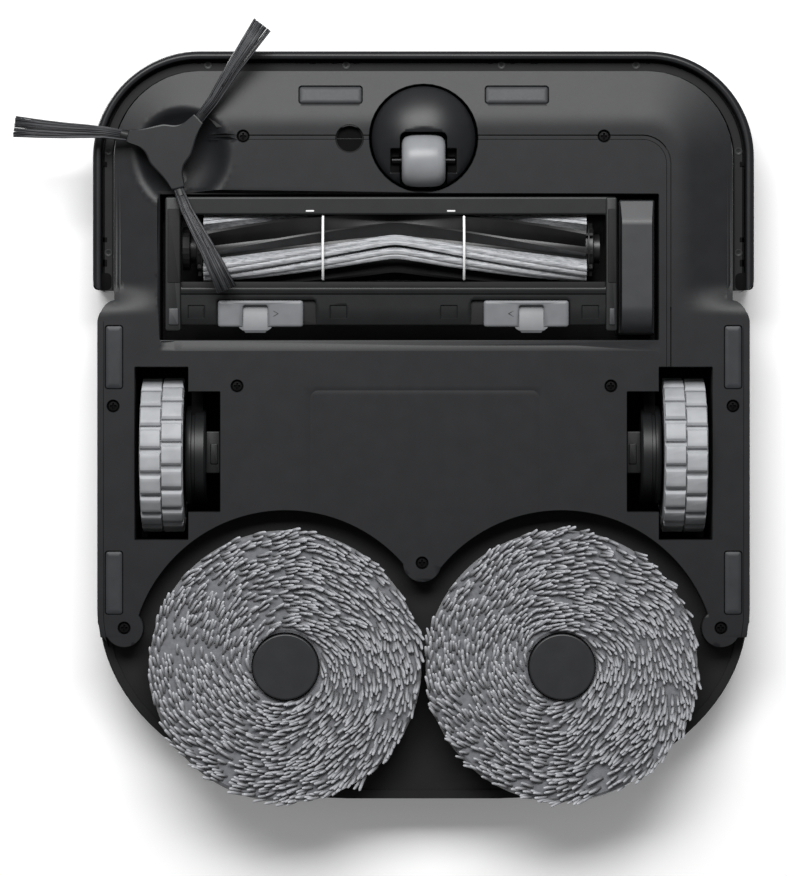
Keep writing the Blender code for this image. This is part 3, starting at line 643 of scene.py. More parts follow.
def front_path(inset, stations=()):
    """The bumper's U from its left end round the front to its right end, at an inset from its face."""
    half, y0, q, end = BUMPER_HALF - inset, BUMPER_FRONT + inset, BUMPER_R - inset, BUMPER_END
    left = [(-half, end - s) for s in (0.0, 0.15, 0.6, 1.3, 2.2, 3.4, 5.0)]
    left += [(-half, end - 5.0 - (end - 5.0 - y0 - q) * i / 6) for i in range(1, 6)]
    left += [(-half + q - q * math.cos(a), y0 + q - q * math.sin(a)) for a in angles(24, 0, math.pi / 2)]
    left.append((-half + q, y0))
    middle = [(x, y0) for x in stations]
    return left + middle + [(-x, y) for x, y in reversed(left)]


def bumper():
    window = [-45.3, -45.2, -20.0, 20.0, 45.2, 45.3]
    profile = [(0, 83.5), (0, 65.2), (0.01, 65.1), (0.01, 44.9), (0, 44.8), (0, 19.4), (0.25, 17.4),
               (0.9, 15.9), (1.9, 15.1), (2.9, 15.0), (3.8, 15.5), (4.1, 16.2), (4.15, 26.0), (5.3, 26.0),
               (5.35, 21.1), (5.6, 20.75), (9.4, 20.75), (9.7, 21.1), (9.7, 26.2), (4.0, 26.2), (4.0, 78.0),
               (9.7, 78.0), (9.7, 80.0), (4.0, 80.0), (4.0, 83.2), (3.6, 83.5)]
    paths = {inset: front_path(inset, window) for inset, z in profile}
    rings = []
    for k in range(len(paths[0])):
        ring = []
        for index, (inset, z) in enumerate(profile):
            x, y = paths[inset][k]
            left_over = 5.0 - min(BUMPER_END - y, 5.0)
            x = math.copysign(min(abs(x), BUMPER_HALF - 5.0 + math.sqrt(25.0 - left_over ** 2)), x)
            if index in (2, 3) and abs(x) < 45.25 and y < -190:
                y += 3.4
            ring.append((x, y, z))
        rings.append(ring)
    skin = Shape().loft(rings).make("bumper_skin", SHELL, "bumper", "shell_plastic", node="bumper_shell",
                                    smooth=35)
    # the groove floors at 20.75 and 26 mm take the darker plastic as painted shade
    skin.data.materials.append(DARK_ABS_AND_SHADE)
    for face in skin.data.polygons:
        if abs(face.center.z / MM - 20.75) < 0.1 or abs(face.center.z / MM - 26.0) < 0.1:
            face.material_index = 1
    # near-black slabs at the arms' ends paint shade on the ledge
    for side in (-1, 1):
        across = sorted((side * (BUMPER_HALF - 0.1), side * (BUMPER_HALF - 9.0)))
        tip = rounded(*across, BUMPER_END - 8.5, BUMPER_END - 0.2, 2.4)
        Shape().slab(tip, 20.62, 21.3, 0.1).make(f"bumper_end_{side}", SHADE_BLACK, "bumper", "dark_plastic")
    spots = [(x, -188.6) for x in (-104.3, -37.4, 37.8, 103.0)]
    spots += [(side * 152.6, y) for side in (-1, 1) for y in (-147.0, -97.8)]
    for number, (x, y) in enumerate(spots):
        Shape().turned([(0.5, 21.0), (0.7, 20.75), (1.5, 20.58), (1.9, 20.62), (2.1, 21.0)], x, y, 20).make(
            f"bumper_screw_{number}", DARK, "bumper", "screw_steel")
    notches = []
    for side in (-1, 1):
        for a, b in ((51.8, 55.4), (42.0, 44.2), (31.2, 33.8), (107.6, 109.8)):
            notches.append((*sorted((side * a, side * b)), -190.9, -189.4))
        for a, b in ((-142.0, -139.4), (-105.4, -103.0), (-94.6, -91.2)):
            notches.append((*sorted((side * 155.4, side * 153.2)), a, b))
        notches.append((*sorted((side * 155.3, side * 154.3)), -140.0, -84.0))
    # near-black fills in the notches are painted shade
    grooves = Shape()
    for x0, x1, y0, y1 in notches:
        grooves.slab(rounded(x0, x1, y0, y1, 0.3, 2), 20.64, 21.2, 0.05)
    grooves.make("bumper_notches", SHADE_BLACK, "bumper", "dark_plastic")
    glass = [[(x, y, z) for x, y in ((-44.4, -195.1), (44.4, -195.1), (44.4, -192.3), (-44.4, -192.3))]
             for z in (45.7, 64.3)]
    Shape().loft(glass).make("sensor_glass", GLOSS, "bumper", "smoked_window", node="sensor_window")


# ---- drive wheels ----

GROOVE = 2.6                     # depth of the grooves between the tyre's lugs
LUGS = 20                        # lugs in each of a tyre's two rows


def drive_wheels():
    near, far = abs(TYRE_X[0]), abs(TYRE_X[1])
    for side, word in ((-1, "left"), (1, "right")):
        tyre = Shape()
        base = WHEEL_R - GROOVE
        wall = ((31.0, near), (base - 0.6, near), (base, near + 0.7), (base, far - 0.7), (base - 0.6, far),
                (31.0, far))
        tyre.rolled([(r, side * x) for r, x in wall], 0, WHEEL_R, 96, closed=True)
        middle = (near + far) / 2
        lug = ((base - 0.4, 0.0), (WHEEL_R - 1.2, 0.0), (WHEEL_R - 0.12, 0.95), (WHEEL_R, 1.25))
        for x0, x1, shift in ((near + 0.25, middle - 0.15, 0.0), (middle + 0.15, far - 0.25, 5.5)):
            for i in range(LUGS):
                a = math.radians(360 / LUGS * i + shift)
                rings = []
                for r, cut in lug:
                    spread = math.radians(7.4) - cut / WHEEL_R
                    ring = []
                    for step in range(5):
                        b = a - spread + 2 * spread * step / 4
                        ring.append((side * (x0 + 0.3 * cut), r * math.cos(b), WHEEL_R + r * math.sin(b)))
                    for step in range(5):
                        b = a + spread - 2 * spread * step / 4
                        ring.append((side * (x1 - 0.3 * cut), r * math.cos(b), WHEEL_R + r * math.sin(b)))
                    rings.append(ring)
                tyre.loft(rings)
        tyre.make(f"tyre_rubber_{word}", TYRE, f"wheel_{word}", "tyre_rubber", node=f"tyre_{word}",
                  smooth=40, merge=False)
        dished = ((8, near + 0.4), (30.4, near + 0.3), (30.8, near + 0.8), (30.8, far - 2),
                  (29.5, far - 2.4), (23.5, far - 4.6), (9, far - 5), (7, far - 3.2), (5.5, far - 2.2))
        hub = Shape().rolled([(r, side * x) for r, x in dished], 0, WHEEL_R, 64)
        hub.make(f"hub_{word}", GREY, f"wheel_{word}", "grey_plastic", node=f"wheel_hub_{word}")
        ribbed = ((22.6, 115.2), (23.6, 114.9), (24, 114.2), (24, 112.6), (22.6, 112.2), (22.6, 110.9),
                  (23.4, 110.6), (23.6, 106.4), (22.8, 105.5), (8, 105.2))
        drum = Shape().rolled([(r, side * x) for r, x in ribbed], 0, WHEEL_R, 72)
        # the bracket beside the gearbox is near-black as painted shade
        arm = Shape().loft([[(side * x, y, z) for y, z in ((-36, 28), (-5, 24), (-5, 52), (-36, 35))]
                            for x in (107.0, 112.5)])
        arm.make(f"bracket_{word}", SHADE_BLACK, f"arm_{word}", "dark_plastic")
        pivot = ((3.4, 105.3), (4, 105.9), (4, 113.4), (3.4, 114))
        drum.rolled([(r, side * x) for r, x in pivot], -36, 31, 32)
        drum.slab(rounded(*sorted((side * 98.6, side * 105.6)), -11.5, 9.0, 0.8), 24.0, 46.0, 0.6)
        drum.slab(rounded(*sorted((side * 99.6, side * 103.4)), -5.5, 4.5, 0.8), 23.4, 25.0, 0.4)
        drum.make(f"gearbox_{word}", DARK, f"arm_{word}", "dark_plastic", node=f"drive_gearbox_{word}",
                  smooth=35)


# ---- brush bay ----

def sweep_row(shape, start, r0, r1, half0, half1, xs, turn, lean=0.0, crown=0.0):
    """A row that runs round the roller as a V, from half-widths in radians at its root and tip."""
    middle, half = sum(xs) / 2, (xs[1] - xs[0]) / 2
    rings = []
    for i in range(73):
        t = -1 + i / 36
        soft = math.sqrt(t * t + 0.0016)
        centre = start + turn * soft
        ring = []
        for r, a in ((r0, -half0), (r0 + (r1 - r0) * 0.6, -half1), (r1 - crown, -half1), (r1, 0.0),
                     (r1 - crown, half1), (r0 + (r1 - r0) * 0.6, half1), (r0, half0)):
            angle = centre + a + lean * (r - r0) / (r1 - r0)
            ring.append((middle + half * t, ROLLER["y"] + r * math.cos(angle),
                         ROLLER["z"] + r * math.sin(angle)))
        rings.append(ring)
    shape.loft(rings)


def roller():
    a, b = ROLLER["x"][0] + 3, ROLLER["x"][1] - 3
    y, z, r = ROLLER["y"], ROLLER["z"], ROLLER["r"]
    turn = math.radians(ROLLER_SWEEP)
    spindle = [(7, ROLLER["x"][0]), (7, a), (10.6, a), (11, a + 0.5), (11, b - 0.5), (10.6, b), (7, b),
               (7, ROLLER["x"][1])]
    core = Shape().rolled(spindle, y, z, 64)
    for x0 in (a + 0.6, b - 4.6):
        for k in range(9):
            c = angles(9)[k]
            core.loft([[(x, y + q * math.cos(c + s), z + q * math.sin(c + s)) for q, s in
                        ((10, -0.1), (13.2, -0.05), (13.2, 0.05), (10, 0.1))] for x in (x0, x0 + 4)])
        collar = [(12, x0 + 1.7), (14.2, x0 + 1.9), (14.2, x0 + 2.3), (12, x0 + 2.5)]
        core.rolled(collar, y, z, 48, closed=True)
    for i in range(3):
        start = math.radians(120 * i + ROLLER_START)
        sweep_row(core, start, 10.4, r - 0.1, 0.16, 0.045, (a + 4, b - 4), turn, lean=-0.25)
        sweep_row(core, start + 0.5, 10.4, r - 2.2, 0.1, 0.03, (a + 4, b - 4), turn, lean=-0.2)
    core.make("roller_fins", FIN, "roller", "fin_rubber", node="brush_core", smooth=35)
    rows = Shape()
    for i in range(3):
        start = math.radians(120 * i + 60 + ROLLER_START)
        for k in range(4):
            s = (-0.28, -0.13, 0.13, 0.28)[k]
            tip = r - 0.2 - 0.45 * abs(k - 1.5)
            sweep_row(rows, start + s, 10.6, tip, 0.1, 0.078, (a + 3.5, b - 3.5), turn, lean=0.1, crown=0.6)
    rows.make("roller_bristles", STRIP, "roller", "nylon_bristle", node="brush_bristles", smooth=60)


def guard():
    x0, x1 = GUARD_X
    y0, y1, y2, y3 = GUARD_Y
    low = GUARD_LOW
    openings = [("box", (-117.0, 87.8, y1, y2 + 2.9, 0.8))]
    squares = [(-113.8, -105.6), (-45.2, -36.9), (8.1, 16.4), (76.3, 84.6)]
    for a, b in LATCH_SLOTS:
        openings.append(("box", (a, b, -74.9, -61.9, 1.4)))

    def height(x, y):
        if y < -100:
            return low
        if y < -78.2:
            return low + 0.15
        z = low + 0.45 + 0.05 * (y + 77.6) + 0.016 * max(y + 71, 0) ** 2
        for a, b in squares:
            g = box_gap(x, y, a, b, -72.4, -65.8, 0.3)
            z += 0.7 * min(max(-g / 0.4, 0.0), 1.0)
        return z + 0.8 * max(0.0, 1 - abs(y + 77.6) / 0.35)

    plate("guard_frame", ("box", (x0, x1, y0, y3, 1.5)), openings, height, 2.6, DARK, "brush_guard",
          "shell_plastic", node="brush_guard", step=1.1, lines=(-78.2, -77.95, -77.6, -77.25),
          marks=[("box", (a, b, -72.4, -65.8, 0.3)) for a, b in squares])
    # the window's inner floor and the latch pockets take the darker plastic as painted shade
    inner = Shape().slab(rounded(-117.2, 88.0, y2 + 0.1, y2 + 3.4, 0.2), 12.6, 13.3, 0.1)
    for a, b in LATCH_SLOTS:
        inner.slab(rounded(a - 0.3, b + 0.3, -75.2, -62.9, 0.6), 13.35, 14.2, 0.1)
    inner.make("guard_floors", DARK_ABS_AND_SHADE, "brush_guard", "shell_plastic")
    for side, a, b in (("left", x0, x0 + 7.7), ("right", x1 - 5.6, x1)):
        end = Shape().slab(rounded(a, b, y0 + 0.1, y3 + 3.0, 1.3), 9.9, 13.0, 0.8)
        end.make(f"guard_end_{side}", DARK, "brush_guard", "shell_plastic")
        rail = Shape().slab(rounded(a + 1.2, b - 0.4, -118.7, -83.0, 0.5), 9.6, 10.4, 0.4)
        rail.make(f"guard_rail_{side}", DARK_ABS_AND_SHADE, "brush_guard", "shell_plastic")
        nub = Shape().slab(rounded(a + 1.6, b - 1.0, -70.9, -62.6, 0.8), 9.3, 10.4, 0.6)
        nub.make(f"guard_nub_{side}", MID_GREY, "brush_guard", "shell_plastic")
    marks = Shape()
    for x in (-54.8, 13.3):
        marks.slab(rounded(x - 2.0, x + 2.0, -118.1, -117.3, 0.3, 3), low - 0.12, low + 0.4, 0.1)
    marks.make("guard_marks", WHITE, "brush_guard", "shell_plastic")
    # the guard's wires, painted near-white as their glint
    for x, word in ((-48.5, "left"), (19.5, "right")):
        rings = []
        for i in range(25):
            c = math.radians(-51 + 102 * i / 24)
            rings.append([(x + 0.62 * math.cos(e), ROLLER["y"] + (19.4 + 0.6 * math.sin(e)) * math.sin(c),
                           ROLLER["z"] - (19.4 + 0.6 * math.sin(e)) * math.cos(c)) for e in angles(12)])
        Shape().loft(rings).make(f"wire_{word}", GLINT_WHITE, "brush_guard", "steel_pin",
                                 node=f"guard_wire_{word}")


def latches():
    for (a, b), word, direction in zip(LATCH_X, ("left", "right"), (1, -1)):
        middle = (a + b) / 2 - 2.5 * direction
        notch = ("box", (middle - 6.0, middle + 6.0, -72.2, -58.0, 1.2))
        body = f"latch_{word}"
        plate(f"latch_plate_{word}", ("box", (a, b, LATCH_Y[0], LATCH_Y[1], 1.4)), [notch],
              lambda x, y: 10.2 + 0.012 * (y + 74.5), 2.6, LATCH, body, "grey_plastic", edge=0.6, drop=0.5,
              node=f"guard_latch_{word}")
        tongue = Shape().loft([[(middle - half, y, z), (middle + half, y, z), (middle + half, y, 13.3),
                                (middle - half, y, 13.3)] for half, y, z in (
                                    (6.2, -72.4, 12.6), (6.2, -69.8, 12.5), (5.9, -68.6, 12.1),
                                    (5.9, -62.4, 11.0), (5.6, -60.2, 10.9), (4.8, -59.0, 11.6))])
        for side in (-1, 1):
            ear = ((5.7, -62.6), (8.6, -62.6), (7.4, -61.0), (5.7, -59.9))
            tongue.loft([[(middle + side * x, y, z) for x, y in ear] for z in (10.9, 13.2)])
        tongue.make(f"latch_tongue_{word}", LATCH, body, "grey_plastic", smooth=25)
        arrow = Shape()
        tip = middle + 11.0 * direction
        bar = ((-0.22, 10.08), (-0.22, 10.4), (0.22, 10.4), (0.22, 10.08))
        for side in (-1, 1):
            ends = ((tip, -68.2), (tip - direction * 2.2, -68.2 + side * 1.3))
            arrow.loft([[(x + dx, y, z) for dx, z in bar] for x, y in ends])
        arrow.make(f"latch_arrow_{word}", MID_GREY, body, "grey_plastic")


def gear_cover():
    def height(x, y):
        z = 11.2
        if y < -112.4:
            z += 0.42 * (-112.4 - y)
        if y > -71.0:
            z += 0.05 * (y + 71.0) ** 2
        return z
    plate("gear_cover", ("box", (94.5, 111.5, -123.3, -58.1, 1.0)), [], height, 28.0, MID_GREY, "chassis",
          "grey_plastic", edge=0.7, drop=0.7, node="brush_gearbox", step=1.4, smooth=20)


# ---- caster ----

def caster():
    y, r, half = CASTER_Y + 11.0, 12.7, 10.5

    def dome(x, v):
        q = math.hypot(x, v - CASTER_Y)
        return 5.4 + 0.0131 * q * q + 0.0000024 * q ** 4

    slot = ("box", (-half - 0.9, half + 0.9, y - r - 1.0, CASTER_Y + 40, 3.0))
    pins = [("box", (*sorted((side * 16.0, side * (half + 0.4))), y - 5.8, y + 5.8, 0.3))
            for side in (-1, 1)]
    plate("caster_dome", ("circle", (0.0, CASTER_Y, 25.1)), [slot] + pins, dome, 15.0, SHELL, "caster",
          "shell_plastic", edge=0.3, drop=0.3, step=1.5, node="caster_housing", smooth=35)
    crown = [(8.4, 0.0), (10.0, 0.35), (11.2, 1.3), (11.9, 2.5), (12.35, 4.2), (12.62, 6.8)]
    barrel = [(2.1, -half)] + [(q, -half + x) for q, x in crown] + [(12.7, 0.0)]
    barrel += [(q, half - x) for q, x in reversed(crown)] + [(2.1, half)]
    wheel = Shape().rolled(barrel, y, r, 72, closed=True)
    wheel.make("caster_barrel", CASTER, "caster_wheel", "grey_plastic", node="caster_wheel", smooth=35)
    pin = Shape().rolled([(1.2, -15.6), (1.7, -15.2), (1.7, 15.2), (1.2, 15.6)], y, r, 24)
    pin.make("caster_pin", SCREW, "caster", "steel_pin", node="caster_axle")
    # near-black fills behind the pin holes paint the shade in the seats
    seats = Shape()
    for side in (-1, 1):
        seats.slab(rounded(*sorted((side * 11.6, side * 16.4)), y - 6.2, y + 6.2, 0.3), 13.6, 24.0, 0.2)
        seats.slab(rounded(*sorted((side * 12.0, side * 15.0)), y - 2.6, y - 1.9, 0.1), 12.4, 14.0, 0.1)
    seats.make("caster_seats", SHADE_BLACK, "caster", "shell_plastic")


# ---- side brush ----

def side_brush():
    cx, cy = SIDE_HUB
    outline = []
    for tip in sorted(a % 360 for a in SIDE_ANGLES):
        root = math.radians(tip + ARM_LEAD)
        arm = [(11.2, -0.62), (12.2, -0.4), (14.5, -0.25), (17.5, -0.19), (20.2, -0.155), (20.6, -0.11),
               (20.6, 0.11), (20.2, 0.155), (17.5, 0.24), (14.5, 0.42), (12.3, 0.76), (11.6, 1.1)]
        outline += [(r * math.cos(root + a), r * math.sin(root + a)) for r, a in arm]
    smooth = []
    n = len(outline)
    for i in range(n):
        p0, p1, p2, p3 = (Vector(outline[(i + k) % n]) for k in (-1, 0, 1, 2))
        for s in range(4):
            t = s / 4
            smooth.append(0.5 * (2 * p1 + (p2 - p0) * t + (2 * p0 - 5 * p1 + 4 * p2 - p3) * t * t
                                 + (3 * p1 - p0 - 3 * p2 + p3) * t ** 3))

    def ring(inset, z):
        shrunk = [p * (1 - inset / max(p.length, 1)) for p in smooth]
        return [(cx + p.x, cy + p.y, z) for p in shrunk]

    hub = Shape().loft([ring(0.9, 6.0), ring(0.35, 6.15), ring(0.05, 6.6), ring(0.0, 9.6), ring(0.4, 10.1)])
    hub.turned([(5.0, 9.8), (5.0, 19.0)], cx, cy, 32)
    hub.make("brush_hub", SHELL, "side_brush", "shell_plastic", node="side_brush_hub", smooth=14)
    sections = ((20.0, 9, 8.2, 4.6, 2.4), (31, 6, 5.9, 5.2, 2.2), (40, 3.5, 4.3, 6.2, 1.8),
                (50, 1.6, 2.8, 7.2, 1.4), (62, 0.6, 1.9, 8.6, 1.2), (74.5, 0, 1.4, 10.0, 1.0))
    for number, tip in enumerate(SIDE_ANGLES, 1):
        rng = random.Random(30 + number)
        spine = []
        for r, lead, z, width, thick in sections:
            a = math.radians(tip + lead)
            out = Vector((math.cos(a), math.sin(a), 0))
            spine.append((Vector((cx, cy, z)) + out * r, Vector((-out.y, out.x, 0)) * width / 2, thick / 2))
        hairs = Shape()
        tones = []
        for _ in range(105):
            u, v = rng.uniform(-1, 1), rng.uniform(-1, 1)
            wobble = [rng.uniform(-0.06, 0.06) for _ in spine]
            short = rng.uniform(0.955, 1.0)
            rings = []
            for k, (middle, across, thick) in enumerate(spine):
                p = middle + across * (u + wobble[k] * (k > 0)) + Vector((0, 0, thick * v))
                if k == len(spine) - 1:
                    p = spine[k - 1][0] + across * u + (p - spine[k - 1][0] - across * u) * short
                size = 0.24 if k < len(spine) - 1 else 0.15
                side = across.normalized() * size
                rings.append([p + side, p + Vector((0, 0, size)), p - side, p - Vector((0, 0, size))])
            before = len(hairs.verts)
            hairs.loft(rings)
            tones += [rng.random()] * (len(hairs.verts) - before)
        node = f"side_bristles_{number}"
        thing = hairs.make(f"bristles_{number}", HAIR, "side_brush", SLOTS[node], node=node, merge=False,
                           smooth=180)
        tone = thing.data.attributes.new("tone", "FLOAT", "POINT")
        tone.data.foreach_set("value", tones)
        root = math.radians(tip + ARM_LEAD)
        ferrule = []
        for r, w, z in ((19.6, 2.3, 8.3), (20.4, 2.75, 8.3), (23.4, 2.55, 7.6), (23.8, 2.2, 7.5)):
            a = root - math.radians(0.27 * (r - 20))
            out = Vector((math.cos(a), math.sin(a), 0))
            across = Vector((-out.y, out.x, 0))
            ferrule.append([Vector((cx, cy, z)) + out * r + across * w * math.cos(e)
                            + Vector((0, 0, 1.7 * math.sin(e))) for e in angles(14)])
        Shape().loft(ferrule).make(f"ferrule_{number}", DARK, "side_brush", "shell_plastic")


# ---- small belly pieces ----

def belly_details():
    for number, (x, y) in enumerate(SCREWS, 1):
        cross = [("box", (x - a, x + a, y - b, y + b, 0.1)) for a, b in ((0.34, 1.45), (1.45, 0.34))]
        z = skin_height(x, y) + 1.5
        plate(f"screw_{number}", ("circle", (x, y, 2.35)), cross,
              lambda u, v: z + 0.05 * math.hypot(u - x, v - y), 1.2, SCREW, "chassis", "screw_steel",
              edge=0.14, drop=0.2, step=0.6, node=f"belly_screw_{number}")
        # a near-black ring under each screw head paints the shade in its counterbore
        seat = Shape().slab(disc(x, y, 2.9, 24), z + 0.8, z + 1.6, 0.1)
        seat.make(f"screw_seat_{number}", SHADE_BLACK, "chassis", "dark_plastic")
    for name, (x0, x1, y0, y1) in WINDOWS.items():
        plate(f"window_{name}", ("box", (x0, x1, y0, y1, 1.2)), [], lambda u, v: skin_height(u, v) + 0.12,
              0.8, WINDOW, "chassis", "smoked_window", edge=0.35, drop=0.25, step=2.5,
              node=f"cliff_window_{name}")
    # a near-black bore paints the shade inside the carpet sensor
    eye = Shape().turned([(6.5, 15.0), (6.5, 22.4)], CARPET[0], CARPET[1], 40)
    eye.make("sensor_eye", SHADE_BLACK, "chassis", "dark_plastic", node="carpet_sensor")
    line = rounded(CARPET[0] - 6.2, CARPET[0] + 6.2, CARPET[1] - 0.15, CARPET[1] + 0.15, 0.05, 1)
    Shape().slab(line, 14.7, 15.1, 0.05).make("sensor_line", DARK, "chassis", "dark_plastic")


# ---- mops ----

def noodle(length, r, bend, rise):
    """One bent strand lying along X from its root, for the pads' pile."""
    shape = Shape()
    rings = []
    for k in range(6):
        t = (0.0, 0.22, 0.5, 0.78, 0.94, 1.0)[k]
        y = bend * math.sin(math.pi * t)
        z = 0.9 * (1 - t) ** 2 - rise * t
        q = r * (0.85, 1.0, 1.0, 1.0, 0.8, 0.4)[k]
        rings.append([(length * t, y + q * math.cos(a), z + q * math.sin(a)) for a in angles(7)])
    shape.loft(rings, caps=(False, True))
    mesh = bpy.data.meshes.new("strand")
    mesh.from_pydata([tuple(Vector(v) * MM) for v in shape.verts], [], shape.faces)
    mesh.shade_smooth()
    # tone runs from 0 at the root to 1 at the tip, for the pile's painted root shade and tip light
    along = mesh.attributes.new("tone", "FLOAT", "POINT")
    along.data.foreach_set("value", [v[0] / length for v in shape.verts])
    return mesh


def pile_nodes(strands):
    """Scatters strands over a pad's face, lying round its centre and leaning outwards."""
    tree = bpy.data.node_groups.new("pile", "GeometryNodeTree")
    interface = tree.interface
    interface.new_socket("Geometry", in_out="INPUT", socket_type="NodeSocketGeometry")
    for label, default in (("Density", 260000.0), ("Swirl", 1.46), ("Lift", 0.0)):
        interface.new_socket(label, in_out="INPUT", socket_type="NodeSocketFloat").default_value = default
    interface.new_socket("Centre", in_out="INPUT", socket_type="NodeSocketVector")
    interface.new_socket("Seed", in_out="INPUT", socket_type="NodeSocketInt").default_value = 1
    interface.new_socket("Material", in_out="INPUT", socket_type="NodeSocketMaterial")
    interface.new_socket("Geometry", in_out="OUTPUT", socket_type="NodeSocketGeometry")
    given = add(tree, "NodeGroupInput").outputs
    points = add(tree, "GeometryNodeDistributePointsOnFaces",
                 {"distribute_method": "POISSON", "Distance Min": 0.00155},
                 {"Mesh": given["Geometry"], "Density Max": given["Density"], "Seed": given["Seed"]})
    place = add(tree, "GeometryNodeInputPosition").outputs[0]
    clump = add(tree, "ShaderNodeTexNoise", {"Scale": 110.0, "Detail": 2.0}, {"Vector": place})
    cover = add(tree, "ShaderNodeMapRange",
                {"From Min": 0.33, "From Max": 0.46, "To Min": 0.2, "To Max": 1.0},
                {"Value": clump.outputs["Fac"]})
    tree.links.new(cover.outputs["Result"], points.inputs["Density Factor"])
    offset = add(tree, "ShaderNodeVectorMath", {"operation": "SUBTRACT"}, {0: place, 1: given["Centre"]})
    parts = add(tree, "ShaderNodeSeparateXYZ", links={0: offset.outputs[0]})
    around = add(tree, "ShaderNodeMath", {"operation": "ARCTAN2"},
                 {0: parts.outputs["Y"], 1: parts.outputs["X"]})
    swirl = add(tree, "ShaderNodeMath", {"operation": "ADD"}, {0: around.outputs[0], 1: given["Swirl"]})
    flow = add(tree, "ShaderNodeTexNoise", {"Scale": 45.0, "Detail": 1.0}, {"Vector": place})
    drift = add(tree, "ShaderNodeMapRange", {"To Min": -0.75, "To Max": 0.75},
                {"Value": flow.outputs["Fac"]})
    jitter = add(tree, "FunctionNodeRandomValue", {2: -0.14, 3: 0.14, "Seed": 5})
    turned = add(tree, "ShaderNodeMath", {"operation": "ADD"}, {0: swirl.outputs[0], 1: drift.outputs[0]})
    heading = add(tree, "ShaderNodeMath", {"operation": "ADD"}, {0: turned.outputs[0], 1: jitter.outputs[1]})
    roll = add(tree, "FunctionNodeRandomValue", {2: -0.15, 3: 0.15, "Seed": 8})
    tilt = add(tree, "FunctionNodeRandomValue", {2: -0.12, 3: 0.06, "Seed": 9})
    euler = add(tree, "ShaderNodeCombineXYZ",
                links={0: roll.outputs[1], 1: tilt.outputs[1], 2: heading.outputs[0]})
    info = add(tree, "GeometryNodeCollectionInfo", {"transform_space": "ORIGINAL", "Separate Children": True,
                                                    "Reset Children": True, "Collection": strands})
    size = add(tree, "FunctionNodeRandomValue", {2: 0.82, 3: 1.16, "Seed": 12})
    spread = add(tree, "GeometryNodeInstanceOnPoints", {"Pick Instance": True},
                 {"Points": points.outputs["Points"], "Instance": info.outputs[0],
                  "Rotation": euler.outputs[0], "Scale": size.outputs[1]})
    solid = add(tree, "GeometryNodeRealizeInstances", links={0: spread.outputs[0]})
    coat = add(tree, "GeometryNodeSetMaterial",
               links={"Geometry": solid.outputs[0], "Material": given["Material"]})
    add(tree, "NodeGroupOutput", links={0: coat.outputs[0]})
    return tree


def mops():
    strands = bpy.data.collections.new("strands")
    kinds = ((6.2, 0.68, 0.12, 1.5), (5.6, 0.72, -0.1, 1.6), (6.8, 0.66, 0.2, 1.3), (5.0, 0.7, 0.1, 1.5),
             (6.0, 0.68, -0.25, 1.4))
    for k, kind in enumerate(kinds):
        strands.objects.link(bpy.data.objects.new(f"strand_{k}", noodle(*kind)))
    tree = pile_nodes(strands)
    sockets = {item.name: item.identifier for item in tree.interface.items_tree if item.in_out == "INPUT"}
    for side, word in ((-1, "left"), (1, "right")):
        x = side * MOP_X
        body = f"mop_{word}"
        rest = [(HUB_R + 0.7, 5.6), (HUB_R + 2.0, 4.7), (PAD_R - 2.8, 4.7), (PAD_R - 1.6, 5.6),
                (PAD_R - 0.8, 8.8), (HUB_R + 0.7, 8.8)]
        felt = Shape().turned(rest, x, MOP_Y, 96, closed=True)
        base = felt.make(f"pad_felt_{word}", FELT, body, "pad_fabric", node=f"mop_pad_{word}")
        bed = bpy.data.meshes.new("bed")
        ring = Shape().loft([[(x + r * math.cos(a), MOP_Y + r * math.sin(a), 3.6) for a in angles(72)]
                             for r in (HUB_R + 1.2, PAD_R - 0.9)], caps=(False, False))
        bed.from_pydata([tuple(ORIGIN + Vector(v) * MM) for v in ring.verts], [], ring.faces)
        pile = bpy.data.objects.new(f"pad_pile_{word}", bed)
        bpy.context.scene.collection.objects.link(pile)
        modifier = pile.modifiers.new("pile", "NODES")
        modifier.node_group = tree
        centre = ORIGIN + Vector((x, MOP_Y, 0)) * MM
        for label, value in (("Centre", tuple(centre)), ("Seed", 3 + side), ("Material", PILE)):
            modifier[sockets[label]] = value
        seen = pile.evaluated_get(bpy.context.evaluated_depsgraph_get())
        pile.data = bpy.data.meshes.new_from_object(seen)
        pile.modifiers.clear()
        pile.data.shade_smooth()
        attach(pile, body)
        hub = Shape().turned([(HUB_R - 0.7, 1.6), (HUB_R - 0.3, 1.75), (HUB_R - 0.05, 2.1), (HUB_R, 2.6),
                              (HUB_R, 9.3), (60, 9.3), (60, 12.5), (8, 12.5), (8, 27.2)], x, MOP_Y, 72)
        hub.make(f"mop_hub_{word}", HUB, body, "grey_plastic", node=f"mop_disc_{word}", smooth=14)


# ---- upper shell ----

def cut_away(thing, shape):
    """Cuts a closed shape out of a piece."""
    mesh = bpy.data.meshes.new("tool")
    mesh.from_pydata([tuple(ORIGIN + Vector(v) * MM) for v in shape.verts], [], shape.faces)
    tool = bpy.data.objects.new("tool", mesh)
    bpy.context.scene.collection.objects.link(tool)
    cut = thing.modifiers.new("cut", "BOOLEAN")
    cut.object, cut.operation, cut.solver = tool, "DIFFERENCE", "EXACT"
    thing.data = bpy.data.meshes.new_from_object(thing.evaluated_get(bpy.context.evaluated_depsgraph_get()))
    thing.modifiers.clear()
    bpy.data.objects.remove(tool, do_unlink=True)


